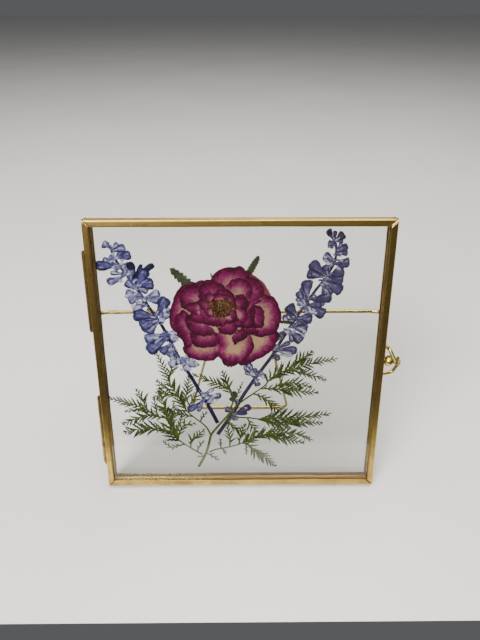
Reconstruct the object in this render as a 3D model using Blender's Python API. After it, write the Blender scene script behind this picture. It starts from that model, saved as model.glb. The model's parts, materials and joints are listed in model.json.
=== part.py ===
"""Pressed flower frame: a rose, two salvia spikes and a fern leaf between two panes of glass.

Each pane sits in a square frame of folded brass channel. Two barrel hinges join the halves on the
left, a ball and a sprung wire loop hold them on the right, and a bent wire stand swings on a
crossbar soldered across the back.

All pieces are first laid out with the frame upright: x runs to the right from the middle of the
frame, y from its front face to its back, and z up from its bottom edge. An empty then leans the
whole frame back on to its stand, with the middle of its footprint at the origin.
"""

import math
import random

import bmesh
import bpy
from mathutils import Vector
from mathutils.geometry import delaunay_2d_cdt

MM = 0.001

# Brass channel
SIDE = 150 * MM
DEPTH = 8.2 * MM
LIP = 3.35 * MM
WALL = 0.5 * MM
EDGE_RADIUS = 0.7 * MM
EDGE_STEPS = 3
GAP = 0.3 * MM
HALF_DEPTH = (DEPTH - GAP) / 2
MITRE_GAP = 0.2 * MM

# Glass
PANE = 1.0 * MM
PANE_SLACK = 0.2 * MM
PANE_BACK = WALL + PANE_SLACK + PANE

# Hinges
HINGE_LENGTH = 40.5 * MM
LOWER_HINGE_Z = 14 * MM
UPPER_HINGE_Z = 93.4 * MM
BARREL_RADIUS = 1.15 * MM
BORE_RADIUS = 0.8 * MM
PIN_RADIUS = 0.5 * MM
PIN_HEAD_RADIUS = 0.9 * MM
PIN_HEAD = 0.5 * MM
LEAF_THICKNESS = 0.5 * MM
LEAF_NEAR = 1.75 * MM
LEAF_FAR = 3.4 * MM
LEAF_TAB = 0.65 * MM
HINGE_X = -SIDE / 2 - GAP - BARREL_RADIUS
HINGE_Y = DEPTH / 2

# Clasp
CLASP_Z = 76.3 * MM
BALL_RADIUS = 2.9 * MM
BALL_X = 77.8 * MM
BALL_Y = 2.0 * MM
LOOP_WIRE = 0.95 * MM

# Crossbar and stand
BAR_WIRE = 0.9 * MM
BAR_Y = 10.5 * MM
BAR_Z = 101.1 * MM
BAR_END = 73.4 * MM
BAR_CRANK = 71.0 * MM
BAR_STRAIGHT = 68.8 * MM
SOLDER_X = -64.6 * MM
STAND_WIRE = 0.8 * MM
EYE_RADIUS = BAR_WIRE + GAP + STAND_WIRE
EYE_TURN = math.radians(262)
LEG = 100 * MM
TOP_HALF_WIDTH = 11.5 * MM
FOOT_HALF_WIDTH = 32.0 * MM
FOOT_CORNER = 6 * MM
LEAN = math.radians(15)

# Pressed pieces, in layers from the front pane to the back one
PETAL = 0.14 * MM
PETAL_PITCH = 0.29 * MM
LEAF = 0.18 * MM
LEAF_PITCH = 0.38 * MM
FIRST_PETAL_Y = PANE_BACK + 0.26 * MM
CALYX_Y = FIRST_PETAL_Y + 8 * PETAL_PITCH
LEFT_SALVIA_Y = CALYX_Y
FERN_Y = CALYX_Y + LEAF_PITCH
BACK_FERN_Y = FERN_Y + LEAF_PITCH
RIGHT_SALVIA_Y = BACK_FERN_Y + LEAF_PITCH


# ---------------------------------------------------------------- materials


def material(name, colour, roughness, metallic=0.0, transmission=0.0):
    made = bpy.data.materials.new(name)
    made.use_nodes = True
    shader = made.node_tree.nodes["Principled BSDF"]
    shader.inputs["Base Color"].default_value = (*colour, 1.0)
    shader.inputs["Roughness"].default_value = roughness
    shader.inputs["Metallic"].default_value = metallic
    shader.inputs["Transmission Weight"].default_value = transmission
    made.diffuse_color = (*colour, 1.0)
    return made


BRASS = material("brass", (0.50, 0.35, 0.13), 0.32, metallic=1.0)
GLASS = material("glass", (0.95, 0.97, 0.96), 0.02, transmission=1.0)
PETALS = material("petal", (0.30, 0.02, 0.11), 0.7)
STAMENS = material("stamens", (0.35, 0.19, 0.05), 0.8)
LEAVES = material("fern_green", (0.10, 0.14, 0.04), 0.75)
SEPALS = material("sepal_green", (0.06, 0.08, 0.03), 0.75)
SALVIA = material("salvia_blue", (0.10, 0.12, 0.33), 0.75)


# ---------------------------------------------------------------- building blocks


def finish_object(name, mesh_builder, finish):
    """A named object from a bmesh, with its faces turned outwards and its material."""
    bmesh.ops.recalc_face_normals(mesh_builder, faces=mesh_builder.faces)
    mesh = bpy.data.meshes.new(name)
    mesh_builder.to_mesh(mesh)
    mesh_builder.free()
    mesh.materials.append(finish)
    made = bpy.data.objects.new(name, mesh)
    bpy.context.scene.collection.objects.link(made)
    return made


def shade_round(made):
    """Smooth shading with sharp edges kept, for round pieces."""
    made.data.shade_smooth()
    made.data.set_sharp_from_angle(angle=math.radians(40))
    return made


def box(name, low, high, finish):
    builder = bmesh.new()
    bmesh.ops.create_cube(builder, size=1.0)
    for vertex in builder.verts:
        for axis in range(3):
            vertex.co[axis] = high[axis] if vertex.co[axis] > 0 else low[axis]
    return finish_object(name, builder, finish)


def skin_rings(builder, rings):
    """Faces between rings of vertices that follow one another, closed by a cap at each end."""
    count = len(rings[0])
    for ring, following in zip(rings, rings[1:]):
        for i in range(count):
            j = (i + 1) % count
            builder.faces.new((ring[i], ring[j], following[j], following[i]))
    builder.faces.new(rings[0])
    builder.faces.new(rings[-1])


def rounded_path(corners, radius, steps=5):
    """The corners' polyline, with each inner corner replaced by an arc of the given radius."""
    points = [Vector(corners[0])]
    for before, corner, after in zip(corners, corners[1:], corners[2:]):
        corner = Vector(corner)
        towards_before = (Vector(before) - corner).normalized()
        towards_after = (Vector(after) - corner).normalized()
        half_angle = towards_before.angle(towards_after) / 2
        centre_way = (towards_before + towards_after).normalized()
        centre = corner + centre_way * (radius / math.sin(half_angle))
        start = corner + towards_before * (radius / math.tan(half_angle)) - centre
        end = corner + towards_after * (radius / math.tan(half_angle)) - centre
        turn = start.angle(end)
        for step in range(steps + 1):
            part = step / steps
            blend = start * math.sin((1 - part) * turn) + end * math.sin(part * turn)
            points.append(centre + blend / math.sin(turn))
    points.append(Vector(corners[-1]))
    return points


def wire(name, path, radii, finish, sides=8):
    """A round wire along a path; its cross-section is carried from point to point untwisted."""
    builder = bmesh.new()
    path = [Vector(point) for point in path]
    ways = [(b - a).normalized() for a, b in zip(path, path[1:])]
    side = ways[0].orthogonal().normalized()
    rings = []
    for i, (point, radius) in enumerate(zip(path, radii)):
        way = ways[0] if i == 0 else ways[-1] if i == len(ways) else (ways[i - 1] + ways[i]).normalized()
        side = (side - way * side.dot(way)).normalized()
        across = way.cross(side)
        ring = []
        for corner in range(sides):
            angle = math.tau * corner / sides
            spoke = side * math.cos(angle) + across * math.sin(angle)
            ring.append(builder.verts.new(point + radius * spoke))
        rings.append(ring)
    skin_rings(builder, rings)
    return shade_round(finish_object(name, builder, finish))


def turned(name, profile, centre, axis, finish, sides=16):
    """A turned solid: (radius, distance along the axis) pairs spun round the axis."""
    builder = bmesh.new()
    along = Vector(axis)
    side = along.orthogonal().normalized()
    across = along.cross(side)
    rings = []
    for radius, distance in profile:
        ring = []
        for corner in range(sides):
            angle = math.tau * corner / sides
            spoke = side * math.cos(angle) + across * math.sin(angle)
            ring.append(builder.verts.new(Vector(centre) + along * distance + spoke * radius))
        rings.append(ring)
    skin_rings(builder, rings)
    return shade_round(finish_object(name, builder, finish))


def fused(base, added):
    """Joins a second solid to the first, and keeps it as a helper of the first."""
    joint = base.modifiers.new("with_" + added.name, "BOOLEAN")
    joint.operation = "UNION"
    joint.object = added
    added.hide_render = True
    added.display_type = "WIRE"
    return base


# ---------------------------------------------------------------- brass channel and glass


def channel_section():
    """The folded channel's cross-section as (inset from the frame's edge, depth) points."""
    points = [(LIP, 0.0)]
    folds = ((math.radians(270), EDGE_RADIUS), (math.radians(180), HALF_DEPTH - EDGE_RADIUS))
    for start, centre_depth in folds:
        for step in range(EDGE_STEPS + 1):
            angle = start - math.radians(90) * step / EDGE_STEPS
            inset = EDGE_RADIUS + EDGE_RADIUS * math.cos(angle)
            points.append((inset, centre_depth + EDGE_RADIUS * math.sin(angle)))
    points += [
        (LIP, HALF_DEPTH),
        (LIP, HALF_DEPTH - WALL),
        (WALL, HALF_DEPTH - WALL),
        (WALL, WALL),
        (LIP, WALL),
    ]
    return points


def rail(name, side, front_y):
    """One mitred length of channel. Its ends lean in at 45 degrees, short of the corner line."""
    builder = bmesh.new()
    rings = []
    for end in (-1, 1):
        ring = []
        for inset, depth in channel_section():
            along = end * (SIDE / 2 - inset - MITRE_GAP)
            across = SIDE / 2 - inset
            x, z = {
                "top": (along, across),
                "bottom": (along, -across),
                "left": (-across, along),
                "right": (across, along),
            }[side]
            ring.append(builder.verts.new((x, front_y + depth, z + SIDE / 2)))
        rings.append(ring)
    skin_rings(builder, rings)
    return finish_object(name, builder, BRASS)


def frame_half(prefix, front_y, pane_y):
    """Four mitred lengths and the pane that they hold."""
    reach = SIDE / 2 - WALL - GAP
    low = (-reach, pane_y, SIDE / 2 - reach)
    high = (reach, pane_y + PANE, SIDE / 2 + reach)
    pieces = [rail(f"{prefix}_{side}_rail", side, front_y) for side in ("top", "bottom", "left", "right")]
    pieces.append(box(f"{prefix}_glass", low, high, GLASS))
    return pieces


# ---------------------------------------------------------------- hinges


def hinge_leaf(name, bottom, knuckles, back):
    """A flat leaf along the channel's outer wall, with its knuckles. back is 1 or -1 along y."""
    outer_x = -SIDE / 2 - GAP - LEAF_THICKNESS
    ys = sorted((HINGE_Y + back * LEAF_NEAR, HINGE_Y + back * LEAF_FAR))
    leaf = box(
        name, (outer_x, ys[0], bottom), (outer_x + LEAF_THICKNESS, ys[1], bottom + HINGE_LENGTH), BRASS
    )
    for number, (low, high) in enumerate(knuckles, start=1):
        ys = sorted((HINGE_Y + back * LEAF_TAB, HINGE_Y + back * (LEAF_NEAR + WALL)))
        tab = box(
            f"{name}_tab_{number}",
            (outer_x + 0.1 * WALL, ys[0], low),
            (outer_x + LEAF_THICKNESS - 0.1 * WALL, ys[1], high),
            BRASS,
        )
        knuckle = knuckle_tube(f"{name}_knuckle_{number}", low, high)
        fused(fused(leaf, tab), knuckle)
    return leaf


def knuckle_tube(name, low, high, sides=16):
    """A plain tube round the hinge's axis."""
    builder = bmesh.new()
    loops = []
    for radius, z in ((BARREL_RADIUS, low), (BARREL_RADIUS, high), (BORE_RADIUS, high), (BORE_RADIUS, low)):
        loop = []
        for corner in range(sides):
            angle = math.tau * (corner + 0.5) / sides
            loop.append(
                builder.verts.new((HINGE_X + radius * math.cos(angle), HINGE_Y + radius * math.sin(angle), z))
            )
        loops.append(loop)
    for loop, following in zip(loops, loops[1:] + loops[:1]):
        for i in range(sides):
            j = (i + 1) % sides
            builder.faces.new((loop[i], loop[j], following[j], following[i]))
    return shade_round(finish_object(name, builder, BRASS))


def hinge(prefix, bottom):
    """Two outer knuckles on the rear leaf, one long middle knuckle on the front leaf, and a pin."""
    outer = HINGE_LENGTH / 4
    top = bottom + HINGE_LENGTH
    rear = hinge_leaf(
        f"{prefix}_hinge_rear_leaf", bottom, ((bottom, bottom + outer), (top - outer, top)), 1
    )
    front = hinge_leaf(
        f"{prefix}_hinge_front_leaf", bottom, ((bottom + outer + GAP, top - outer - GAP),), -1
    )
    profile = (
        (PIN_HEAD_RADIUS, -GAP - PIN_HEAD),
        (PIN_HEAD_RADIUS, -GAP),
        (PIN_RADIUS, -GAP),
        (PIN_RADIUS, HINGE_LENGTH + GAP),
        (PIN_HEAD_RADIUS, HINGE_LENGTH + GAP),
        (PIN_HEAD_RADIUS, HINGE_LENGTH + GAP + PIN_HEAD),
    )
    pin = turned(f"{prefix}_hinge_pin", profile, (HINGE_X, HINGE_Y, bottom), (0, 0, 1), BRASS, sides=12)
    return rear, front, pin


# ---------------------------------------------------------------- clasp


def ball_stud():
    """A ball with a small flat, soldered to the outer wall of the front frame."""
    flat = SIDE / 2 + GAP
    steps = 8
    start = math.acos((flat - BALL_X) / BALL_RADIUS)
    profile = []
    for step in range(steps):
        angle = start * (1 - step / steps)
        profile.append((BALL_RADIUS * math.sin(angle), BALL_RADIUS * math.cos(angle)))
    profile.append((0.08 * BALL_RADIUS, BALL_RADIUS))
    return turned("clasp_ball", profile, (BALL_X, BALL_Y, CLASP_Z), (1, 0, 0), BRASS)


def clasp_loop():
    """A bent wire from the rear frame's wall, down past the ball's front, and back to the wall."""
    wall_x = SIDE / 2 + GAP
    corners = (
        (wall_x, 6.3 * MM, 82.4 * MM),
        (77.4 * MM, 6.3 * MM, 82.4 * MM),
        (77.2 * MM, 1.0 * MM, 83.2 * MM),
        (80.5 * MM, -2.3 * MM, 76.3 * MM),
        (83.2 * MM, 4.6 * MM, 77.0 * MM),
        (84.6 * MM, 5.4 * MM, 74.0 * MM),
        (81.4 * MM, 6.3 * MM, 68.0 * MM),
        (77.6 * MM, 6.3 * MM, 67.0 * MM),
        (wall_x, 6.3 * MM, 67.0 * MM),
    )
    path = rounded_path(corners, 0.9 * MM, steps=2)
    return wire("clasp_loop", path, [LOOP_WIRE] * len(path), BRASS)


# ---------------------------------------------------------------- crossbar and stand


def crossbar():
    """A straight wire whose cranked ends lie on the rear frame, thickened where it is soldered."""
    end_y = DEPTH + GAP + BAR_WIRE
    lump = 1.3 * MM
    stations = [
        (-BAR_END, end_y, 0.9),
        (-BAR_END + 0.8 * MM, end_y, 1.0),
        (-BAR_CRANK, end_y, 1.0),
        (-BAR_STRAIGHT, BAR_Y, 1.0),
        (SOLDER_X - lump, BAR_Y, 1.0),
        (SOLDER_X - lump / 2, BAR_Y, 1.3),
        (SOLDER_X, BAR_Y, 1.1),
        (SOLDER_X + lump / 2, BAR_Y, 1.35),
        (SOLDER_X + lump, BAR_Y, 1.0),
        (BAR_STRAIGHT, BAR_Y, 1.0),
        (BAR_CRANK, end_y, 1.0),
        (BAR_END - 0.8 * MM, end_y, 1.0),
        (BAR_END, end_y, 0.9),
    ]
    path = [(x, y, BAR_Z) for x, y, _ in stations]
    return wire("crossbar", path, [BAR_WIRE * swell for _, _, swell in stations], BRASS)


def open_angle(lift):
    """The angle between the frame and the leg at which the stand's foot just meets the ground."""
    bar_height = lift + BAR_Z * math.cos(LEAN) - BAR_Y * math.sin(LEAN)
    reach = math.hypot(LEG, EYE_RADIUS)
    from_upright = math.acos((bar_height - STAND_WIRE) / reach) - math.atan2(EYE_RADIUS, LEG)
    return LEAN + from_upright


def stand(angle):
    """One wire: a hooked eye round the crossbar, a leg, the foot, a leg and the other eye."""
    down = Vector((0, math.sin(angle), -math.cos(angle)))
    behind = Vector((0, math.cos(angle), math.sin(angle)))
    pivot = Vector((0, BAR_Y, BAR_Z))

    def place(x, along, off):
        return pivot + Vector((x, 0, 0)) + down * along + behind * off

    eye = []
    turns = 9
    for step in range(turns):
        turned_by = EYE_TURN * (1 - step / turns)
        drop = -EYE_RADIUS * math.sin(turned_by)
        eye.append(place(-TOP_HALF_WIDTH, drop, EYE_RADIUS * math.cos(turned_by)))
    foot = [
        place(-TOP_HALF_WIDTH, 0, EYE_RADIUS),
        place(-FOOT_HALF_WIDTH, LEG, EYE_RADIUS),
        place(FOOT_HALF_WIDTH, LEG, EYE_RADIUS),
        place(TOP_HALF_WIDTH, 0, EYE_RADIUS),
    ]
    mirrored = [Vector((-point.x, point.y, point.z)) for point in reversed(eye)]
    path = eye + rounded_path(foot, FOOT_CORNER, steps=6) + mirrored
    return wire("stand", path, [STAND_WIRE] * len(path), BRASS)


# ---------------------------------------------------------------- pressed pieces


def smooth_line(points, spacing):
    """A curve through the points (Catmull-Rom), with a point about every spacing."""
    points = [Vector(point) for point in points]
    ends = [2 * points[0] - points[1], *points, 2 * points[-1] - points[-2]]
    line = []
    for before, here, there, after in zip(ends, ends[1:], ends[2:], ends[3:]):
        steps = max(1, round((there - here).length / spacing))
        for step in range(steps):
            line.append(curve_point(before, here, there, after, step / steps))
    line.append(points[-1])
    return line


def curve_point(before, here, there, after, t):
    """The Catmull-Rom point at part t of the way from here to there."""
    first = there - before
    second = 2 * before - 5 * here + 4 * there - after
    third = 3 * here - before - 3 * there + after
    return 0.5 * (2 * here + first * t + second * t * t + third * t**3)


def smooth_outline(points, steps):
    """A closed curve through the points, with so many steps between neighbours."""
    points = [Vector(point) for point in points]
    count = len(points)
    return [
        curve_point(points[i - 1], points[i], points[(i + 1) % count], points[(i + 2) % count], step / steps)
        for i in range(count)
        for step in range(steps)
    ]


def strip(line, start_width, end_width):
    """The outline of a stem along a line, tapering evenly."""
    left, right = [], []
    for i, point in enumerate(line):
        way = (line[min(i + 1, len(line) - 1)] - line[max(i - 1, 0)]).normalized()
        half = (start_width + (end_width - start_width) * i / (len(line) - 1)) / 2
        across = Vector((-way.y, way.x)) * half
        left.append(point + across)
        right.append(point - across)
    return left + right[::-1]


def anticlockwise(outline):
    """The outline in the direction that gives it a positive area."""
    doubled_area = sum(a.cross(b) for a, b in zip(outline, outline[1:] + outline[:1]))
    return outline if doubled_area > 0 else outline[::-1]


def pressed(name, outlines, front_y, thickness, finish):
    """One flat piece: the union of the outlines (millimetres), given its thickness along y.

    A triangle that lies in none of the outlines is a gap between them, and stays open.
    """
    corners, loops = [], []
    for outline in outlines:
        loops.append(list(range(len(corners), len(corners) + len(outline))))
        corners.extend(anticlockwise([Vector(point) for point in outline]))
    inside_triangles = 1
    merged, _, triangles, _, _, sources = delaunay_2d_cdt(corners, [], loops, inside_triangles, 1e-4)
    builder = bmesh.new()
    made = [builder.verts.new((point.x * MM, front_y, point.y * MM)) for point in merged]
    for triangle, covered_by in zip(triangles, sources):
        if covered_by:
            builder.faces.new([made[i] for i in triangle])
    bmesh.ops.dissolve_limit(
        builder, angle_limit=math.radians(0.5), verts=builder.verts, edges=builder.edges
    )
    loose = [vertex for vertex in builder.verts if not vertex.link_faces]
    bmesh.ops.delete(builder, geom=loose, context="VERTS")
    extruded = bmesh.ops.extrude_face_region(builder, geom=builder.faces[:])
    moved = [item for item in extruded["geom"] if isinstance(item, bmesh.types.BMVert)]
    bmesh.ops.translate(builder, verts=moved, vec=(0, thickness, 0))
    return finish_object(name, builder, finish)


# ---------------------------------------------------------------- rose

# Petal outlines in millimetres, each with its layer, 0 in front
ROSE_PETALS = {
    "notched": (0, [(-4.3, 89.2), (-3.2, 86), (-0.8, 87.6), (2, 89), (3.6, 90.3), (2.5, 92.8),
                    (-1.5, 93), (-3.8, 91)]),
    "inner_top": (0, [(-14.2, 109), (-13.5, 113), (-10, 115.8), (-6, 115.3), (-3, 112.5), (-4, 111),
                      (-8, 112.5), (-12, 111)]),
    "inner_right": (0, [(-2.5, 112), (0, 113), (2.5, 112), (3.8, 108.5), (2.9, 104.8), (1.6, 101.2),
                        (-0.6, 99.6), (-1.5, 103), (-1, 108)]),
    "left_curl": (0, [(-27, 101.5), (-23, 103.5), (-19, 101), (-14, 98.2), (-10.8, 96.2), (-13.5, 95.8),
                      (-19, 97.5), (-24, 98.5)]),
    "inner_bottom": (1, [(-12, 94.5), (-11, 92.5), (-7, 91.3), (-3.5, 91.8), (-1.2, 95), (-1.5, 98.5),
                         (-5, 97.5), (-8, 96.8)]),
    "inner_left": (1, [(-23.5, 108.3), (-20, 109.8), (-17, 107), (-15, 102), (-11, 99), (-11.5, 96),
                       (-17, 97), (-21.5, 100.5), (-24, 104.5)]),
    "top_round": (1, [(-7, 115.5), (-6, 118.8), (-3, 120.8), (1, 121), (4.2, 119), (6, 115.5),
                      (5.2, 111.5), (2.5, 110.5), (-3, 111.5)]),
    "low_right_curl": (2, [(-1.5, 95), (1, 94.3), (6, 94.8), (9.5, 93.2), (8, 92), (3.5, 91.3),
                           (-0.5, 92.3)]),
    "mid_left": (2, [(-27.8, 101.8), (-27.5, 96), (-25, 92.5), (-20.5, 90.6), (-16, 91), (-13.2, 93),
                     (-11.8, 95.5), (-17, 97), (-23, 100)]),
    "upper_mid": (2, [(-20.5, 116.5), (-17, 118.8), (-13, 119.2), (-9, 117.8), (-7, 115), (-9, 111),
                      (-15, 110), (-20, 109)]),
    "top_right": (2, [(2.5, 121.2), (6.5, 121.3), (10, 118.8), (11.7, 115), (11, 111.6), (7.5, 109.3),
                      (4.3, 107.5), (4.5, 112), (6, 116)]),
    "inner_fold": (3, [(3.5, 103.5), (6, 106.2), (7.5, 104.5), (7.2, 99), (6.3, 95), (1, 94.6),
                       (0, 97.5), (3, 99.5)]),
    "low_left": (3, [(-25.2, 92.5), (-25.3, 87.5), (-23, 84.4), (-18, 84), (-13, 85), (-10.6, 87.6),
                     (-13, 90.2), (-16.5, 91.8)]),
    "upper_left": (3, [(-30, 113.5), (-27, 116.8), (-23, 117.8), (-20.5, 116.5), (-20, 111),
                       (-21, 108), (-25, 106), (-28.5, 105), (-30.5, 109)]),
    "right_fold": (4, [(2.5, 109), (7, 107), (10, 106.2), (11.9, 104), (12.1, 99), (11.5, 95.2),
                       (7.5, 94.5), (1.5, 96), (-1, 100), (-0.5, 105)]),
    "bottom_centre": (4, [(-13.8, 91.5), (-10.5, 84), (-11.2, 79), (-8.5, 76.2), (-4, 75.2), (1, 75.2),
                          (3.8, 78.5), (6, 81.5), (7, 85), (5.5, 90), (1.5, 94), (-6, 97), (-12.5, 96.5)]),
    "left_second": (4, [(-28, 104.2), (-32, 102.3), (-34, 98.5), (-33, 94), (-30, 90.5), (-26.5, 87),
                        (-25, 90), (-25, 98)]),
    "back_upper_left": (4, [(-24.5, 117.8), (-20, 119.8), (-15, 120.2), (-12, 118.5), (-12, 114),
                            (-18, 112), (-24, 114)]),
    "right_large": (5, [(9.5, 111.3), (13, 112.2), (17, 110.8), (19.5, 106.5), (21, 101), (20, 96),
                        (18, 92), (13.5, 90), (7, 90), (4, 94), (3, 100), (3, 107)]),
    "bottom_left": (5, [(-27.5, 86.5), (-30, 84), (-29, 80.5), (-25.5, 77.5), (-20, 76.2),
                        (-14.5, 76.5), (-11.4, 79), (-9.8, 84), (-9.5, 90), (-20, 92)]),
    "left_outer": (5, [(-24, 117.3), (-29, 117.2), (-32.5, 113), (-34.8, 107), (-36.2, 101), (-36, 96),
                       (-33.5, 92.5), (-30, 88), (-26, 92), (-23, 104)]),
    "bottom_right": (6, [(18.8, 93), (19.4, 88), (17.5, 83), (13.5, 79.3), (8.5, 76.6), (3.5, 74),
                         (-0.5, 73.6), (-2, 77), (0, 85), (4, 92), (9, 93)]),
    "back_upper_right": (6, [(4.5, 122.5), (8.5, 121), (12, 118), (15, 112.5), (14, 109), (8, 109),
                             (5, 114)]),
    "back_top": (7, [(-15, 120.5), (-12.5, 124), (-8.5, 126.2), (-3.5, 126.3), (0, 127), (3.5, 124.5),
                     (5.5, 121.5), (3, 114), (-6, 112), (-14, 115)]),
    "back_bottom": (7, [(-10, 76.5), (-8.5, 73.5), (-6, 72.3), (-3, 73), (-1, 74.8), (-2, 80),
                        (-8, 81)]),
}
HEART_LAYER = 3
HEART = [(-18.5, 103), (-17, 109), (-13, 112.5), (-7, 113), (-2, 111), (1, 107), (0.5, 101.5),
         (-2.5, 97), (-8, 95.5), (-13, 96.5), (-17, 99)]
CALYX_CENTRE = (-8, 101)
CALYX_RADIUS = 9.0
SEPAL_STEM_WIDTH = 4.2
# Each sepal: the tip, the widest point's distance from the tip, and the widest half width
SEPALS_OUT = [((-34.8, 125.9), 11.0, 2.7), ((9.2, 132.0), 7.5, 1.9), ((-14.8, 123.6), 3.0, 0.6),
              ((27.8, 96.7), 6.0, 1.1)]


def rose():
    """The petals in their layers, the heart of stamens, and the calyx with its sepals behind."""
    pieces = []
    for name, (layer, outline) in ROSE_PETALS.items():
        front_y = FIRST_PETAL_Y + layer * PETAL_PITCH
        pieces.append(pressed(f"petal_{name}", [smooth_outline(outline, 2)], front_y, PETAL, PETALS))
    heart_y = FIRST_PETAL_Y + HEART_LAYER * PETAL_PITCH
    pieces.append(pressed("rose_heart", [smooth_outline(HEART, 2)], heart_y, PETAL, STAMENS))
    centre = Vector(CALYX_CENTRE)
    disc = [
        centre + CALYX_RADIUS * Vector((math.cos(math.tau * i / 16), math.sin(math.tau * i / 16)))
        for i in range(16)
    ]
    outlines = [disc] + [sepal(Vector(tip), length, half) for tip, length, half in SEPALS_OUT]
    pieces.append(pressed("rose_calyx", outlines, CALYX_Y, LEAF, SEPALS))
    return pieces


def sepal(tip, length, half):
    """A leafy sepal with two saw teeth a side, from under the calyx's disc to its tip."""
    centre = Vector(CALYX_CENTRE)
    way = (tip - centre).normalized()
    across = Vector((-way.y, way.x))
    reach = (tip - centre).length
    stations = (
        (0.0, 0.45 * SEPAL_STEM_WIDTH),
        (reach - 1.5 * length, 0.9 * half),
        (reach - length, half),
        (reach - 0.9 * length, 0.72 * half),
        (reach - 0.6 * length, 0.86 * half),
        (reach - 0.5 * length, 0.5 * half),
        (reach - 0.2 * length, 0.42 * half),
    )
    left = [centre + way * along + across * wide for along, wide in stations]
    right = [centre + way * along - across * wide for along, wide in stations]
    return left + [tip] + right[::-1]


# ---------------------------------------------------------------- salvias

# A floret is (root, tip, width), all in millimetres
LEFT_STEM = [(-12.6, 38.2), (-17, 48), (-22, 58), (-25.5, 65), (-28, 69.5), (-32, 77), (-36, 86),
             (-39.5, 94), (-42.5, 99.5), (-46.5, 106), (-50, 112.5), (-54, 119), (-59, 126.5),
             (-62, 132), (-63, 137)]
LEFT_FLORETS = [
    ((-51, 121.5), (-42.8, 128), 2.6), ((-51, 120), (-54.6, 129.2), 3.4), ((-60, 127), (-71.3, 127.4), 3.8),
    ((-57, 122.5), (-66.5, 118.6), 2.9), ((-61, 131), (-53.3, 132.8), 3.4), ((-63, 136), (-67, 138), 3.0),
    ((-62, 134.5), (-55.8, 136.4), 3.0), ((-61, 130), (-64.5, 131.5), 2.6), ((-60, 127.5), (-62, 125), 2.6),
    ((-57, 123), (-57.5, 128.5), 2.6), ((-55, 119.5), (-53.8, 125.5), 3.2), ((-52, 117), (-43, 118), 4.6),
    ((-52, 116), (-46.5, 125.5), 4.6), ((-51.5, 114.5), (-57, 119.5), 3.6), ((-50, 111.5), (-57.8, 113), 3.6),
    ((-49.5, 111), (-56.5, 108.6), 3.2), ((-49, 110.5), (-40.3, 113.6), 3.2),
    ((-48, 109.5), (-40.8, 109.2), 3.0), ((-47, 107), (-54.8, 104.8), 2.8),
    ((-43.5, 101), (-37, 110.8), 4.6), ((-42.5, 100.3), (-54.8, 102.2), 5.4),
    ((-42, 99), (-51.5, 94.6), 5.4), ((-41.5, 98), (-48, 91.2), 3.6), ((-40.5, 96), (-36.6, 103), 3.2),
    ((-38.2, 91), (-49.8, 87.6), 4.4), ((-37.5, 89), (-48.8, 81.2), 4.8), ((-38.2, 91), (-32.6, 87.8), 3.8),
    ((-36, 86), (-41.5, 80), 3.4), ((-34.5, 83.5), (-37.4, 78), 3.0), ((-33, 80), (-36.8, 72.5), 3.4),
    ((-32, 77.5), (-26.4, 76.2), 3.0), ((-31, 76), (-27.4, 70.4), 3.8), ((-31.5, 77), (-22.6, 73.2), 3.0),
    ((-21.5, 57), (-17.2, 55.8), 3.0), ((-20, 54), (-14.6, 52), 4.0), ((-20.5, 55), (-10.2, 55.4), 2.6),
    ((-19.5, 53), (-28.8, 46), 2.6),
]
RIGHT_STEM = [(-12.8, 30.2), (-8.5, 37), (-4, 44), (0, 52), (6, 62), (12, 71), (17, 78.5), (21, 86),
              (25, 93), (29, 100), (33.5, 107), (38, 114), (41, 118), (44, 123), (46.5, 128),
              (47.2, 134), (46, 140)]
RIGHT_FLORETS = [
    ((46, 139), (42.6, 144.8), 2.8), ((46.2, 139), (50.8, 142.2), 4.0), ((46.6, 137), (42.6, 137.4), 3.4),
    ((47.2, 134), (52.8, 136.4), 3.0), ((47, 132.5), (53, 133.2), 3.0), ((46.7, 129), (41, 132), 4.0),
    ((46, 127), (42.6, 128.6), 2.8), ((46.5, 127.5), (54.3, 128.4), 4.4), ((43, 121), (34.6, 128.4), 5.0),
    ((42.5, 120.5), (33, 122.8), 4.6), ((43.6, 122), (42.6, 127.2), 3.4), ((44, 121), (51.8, 124.4), 5.2),
    ((43, 119.5), (51.8, 119.4), 4.4), ((42.5, 118), (51.4, 113), 5.2), ((42.5, 118), (43.6, 111.2), 3.4),
    ((36, 109), (46.6, 110.6), 5.2), ((35, 108), (33.6, 119.6), 5.2), ((33.5, 106.5), (29, 113.6), 3.6),
    ((33, 106), (28.9, 107.4), 3.0), ((33.5, 105.5), (43.4, 100.6), 5.4), ((32.5, 105), (38.6, 102.4), 3.4),
    ((29, 100), (24, 106.2), 5.2), ((28.5, 98.5), (21.4, 99.6), 3.0), ((29, 99), (37.2, 98.6), 5.2),
    ((26.5, 94), (35, 93), 5.0), ((25.5, 92), (32, 85.8), 5.0), ((25.5, 93), (22.6, 92), 3.0),
    ((22.5, 88), (20.4, 91.6), 3.4), ((19, 81.5), (30, 80.8), 4.0), ((19, 81), (27.8, 78.2), 2.6),
    ((18, 79.5), (20.6, 75.4), 2.4), ((20, 84), (17, 82), 2.6), ((8.6, 65.6), (3.2, 73.6), 4.6),
    ((8.6, 66), (7.2, 71), 2.8), ((8, 65), (9.6, 60.2), 3.0), ((9, 66.5), (14, 66), 2.6),
    ((-1, 50), (-4.4, 57.2), 3.2), ((-5, 42.5), (5.8, 48.2), 3.6), ((-3.5, 45), (-8.4, 46.8), 3.4),
    ((-5.5, 41.5), (-1, 40.4), 2.4),
]


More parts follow.
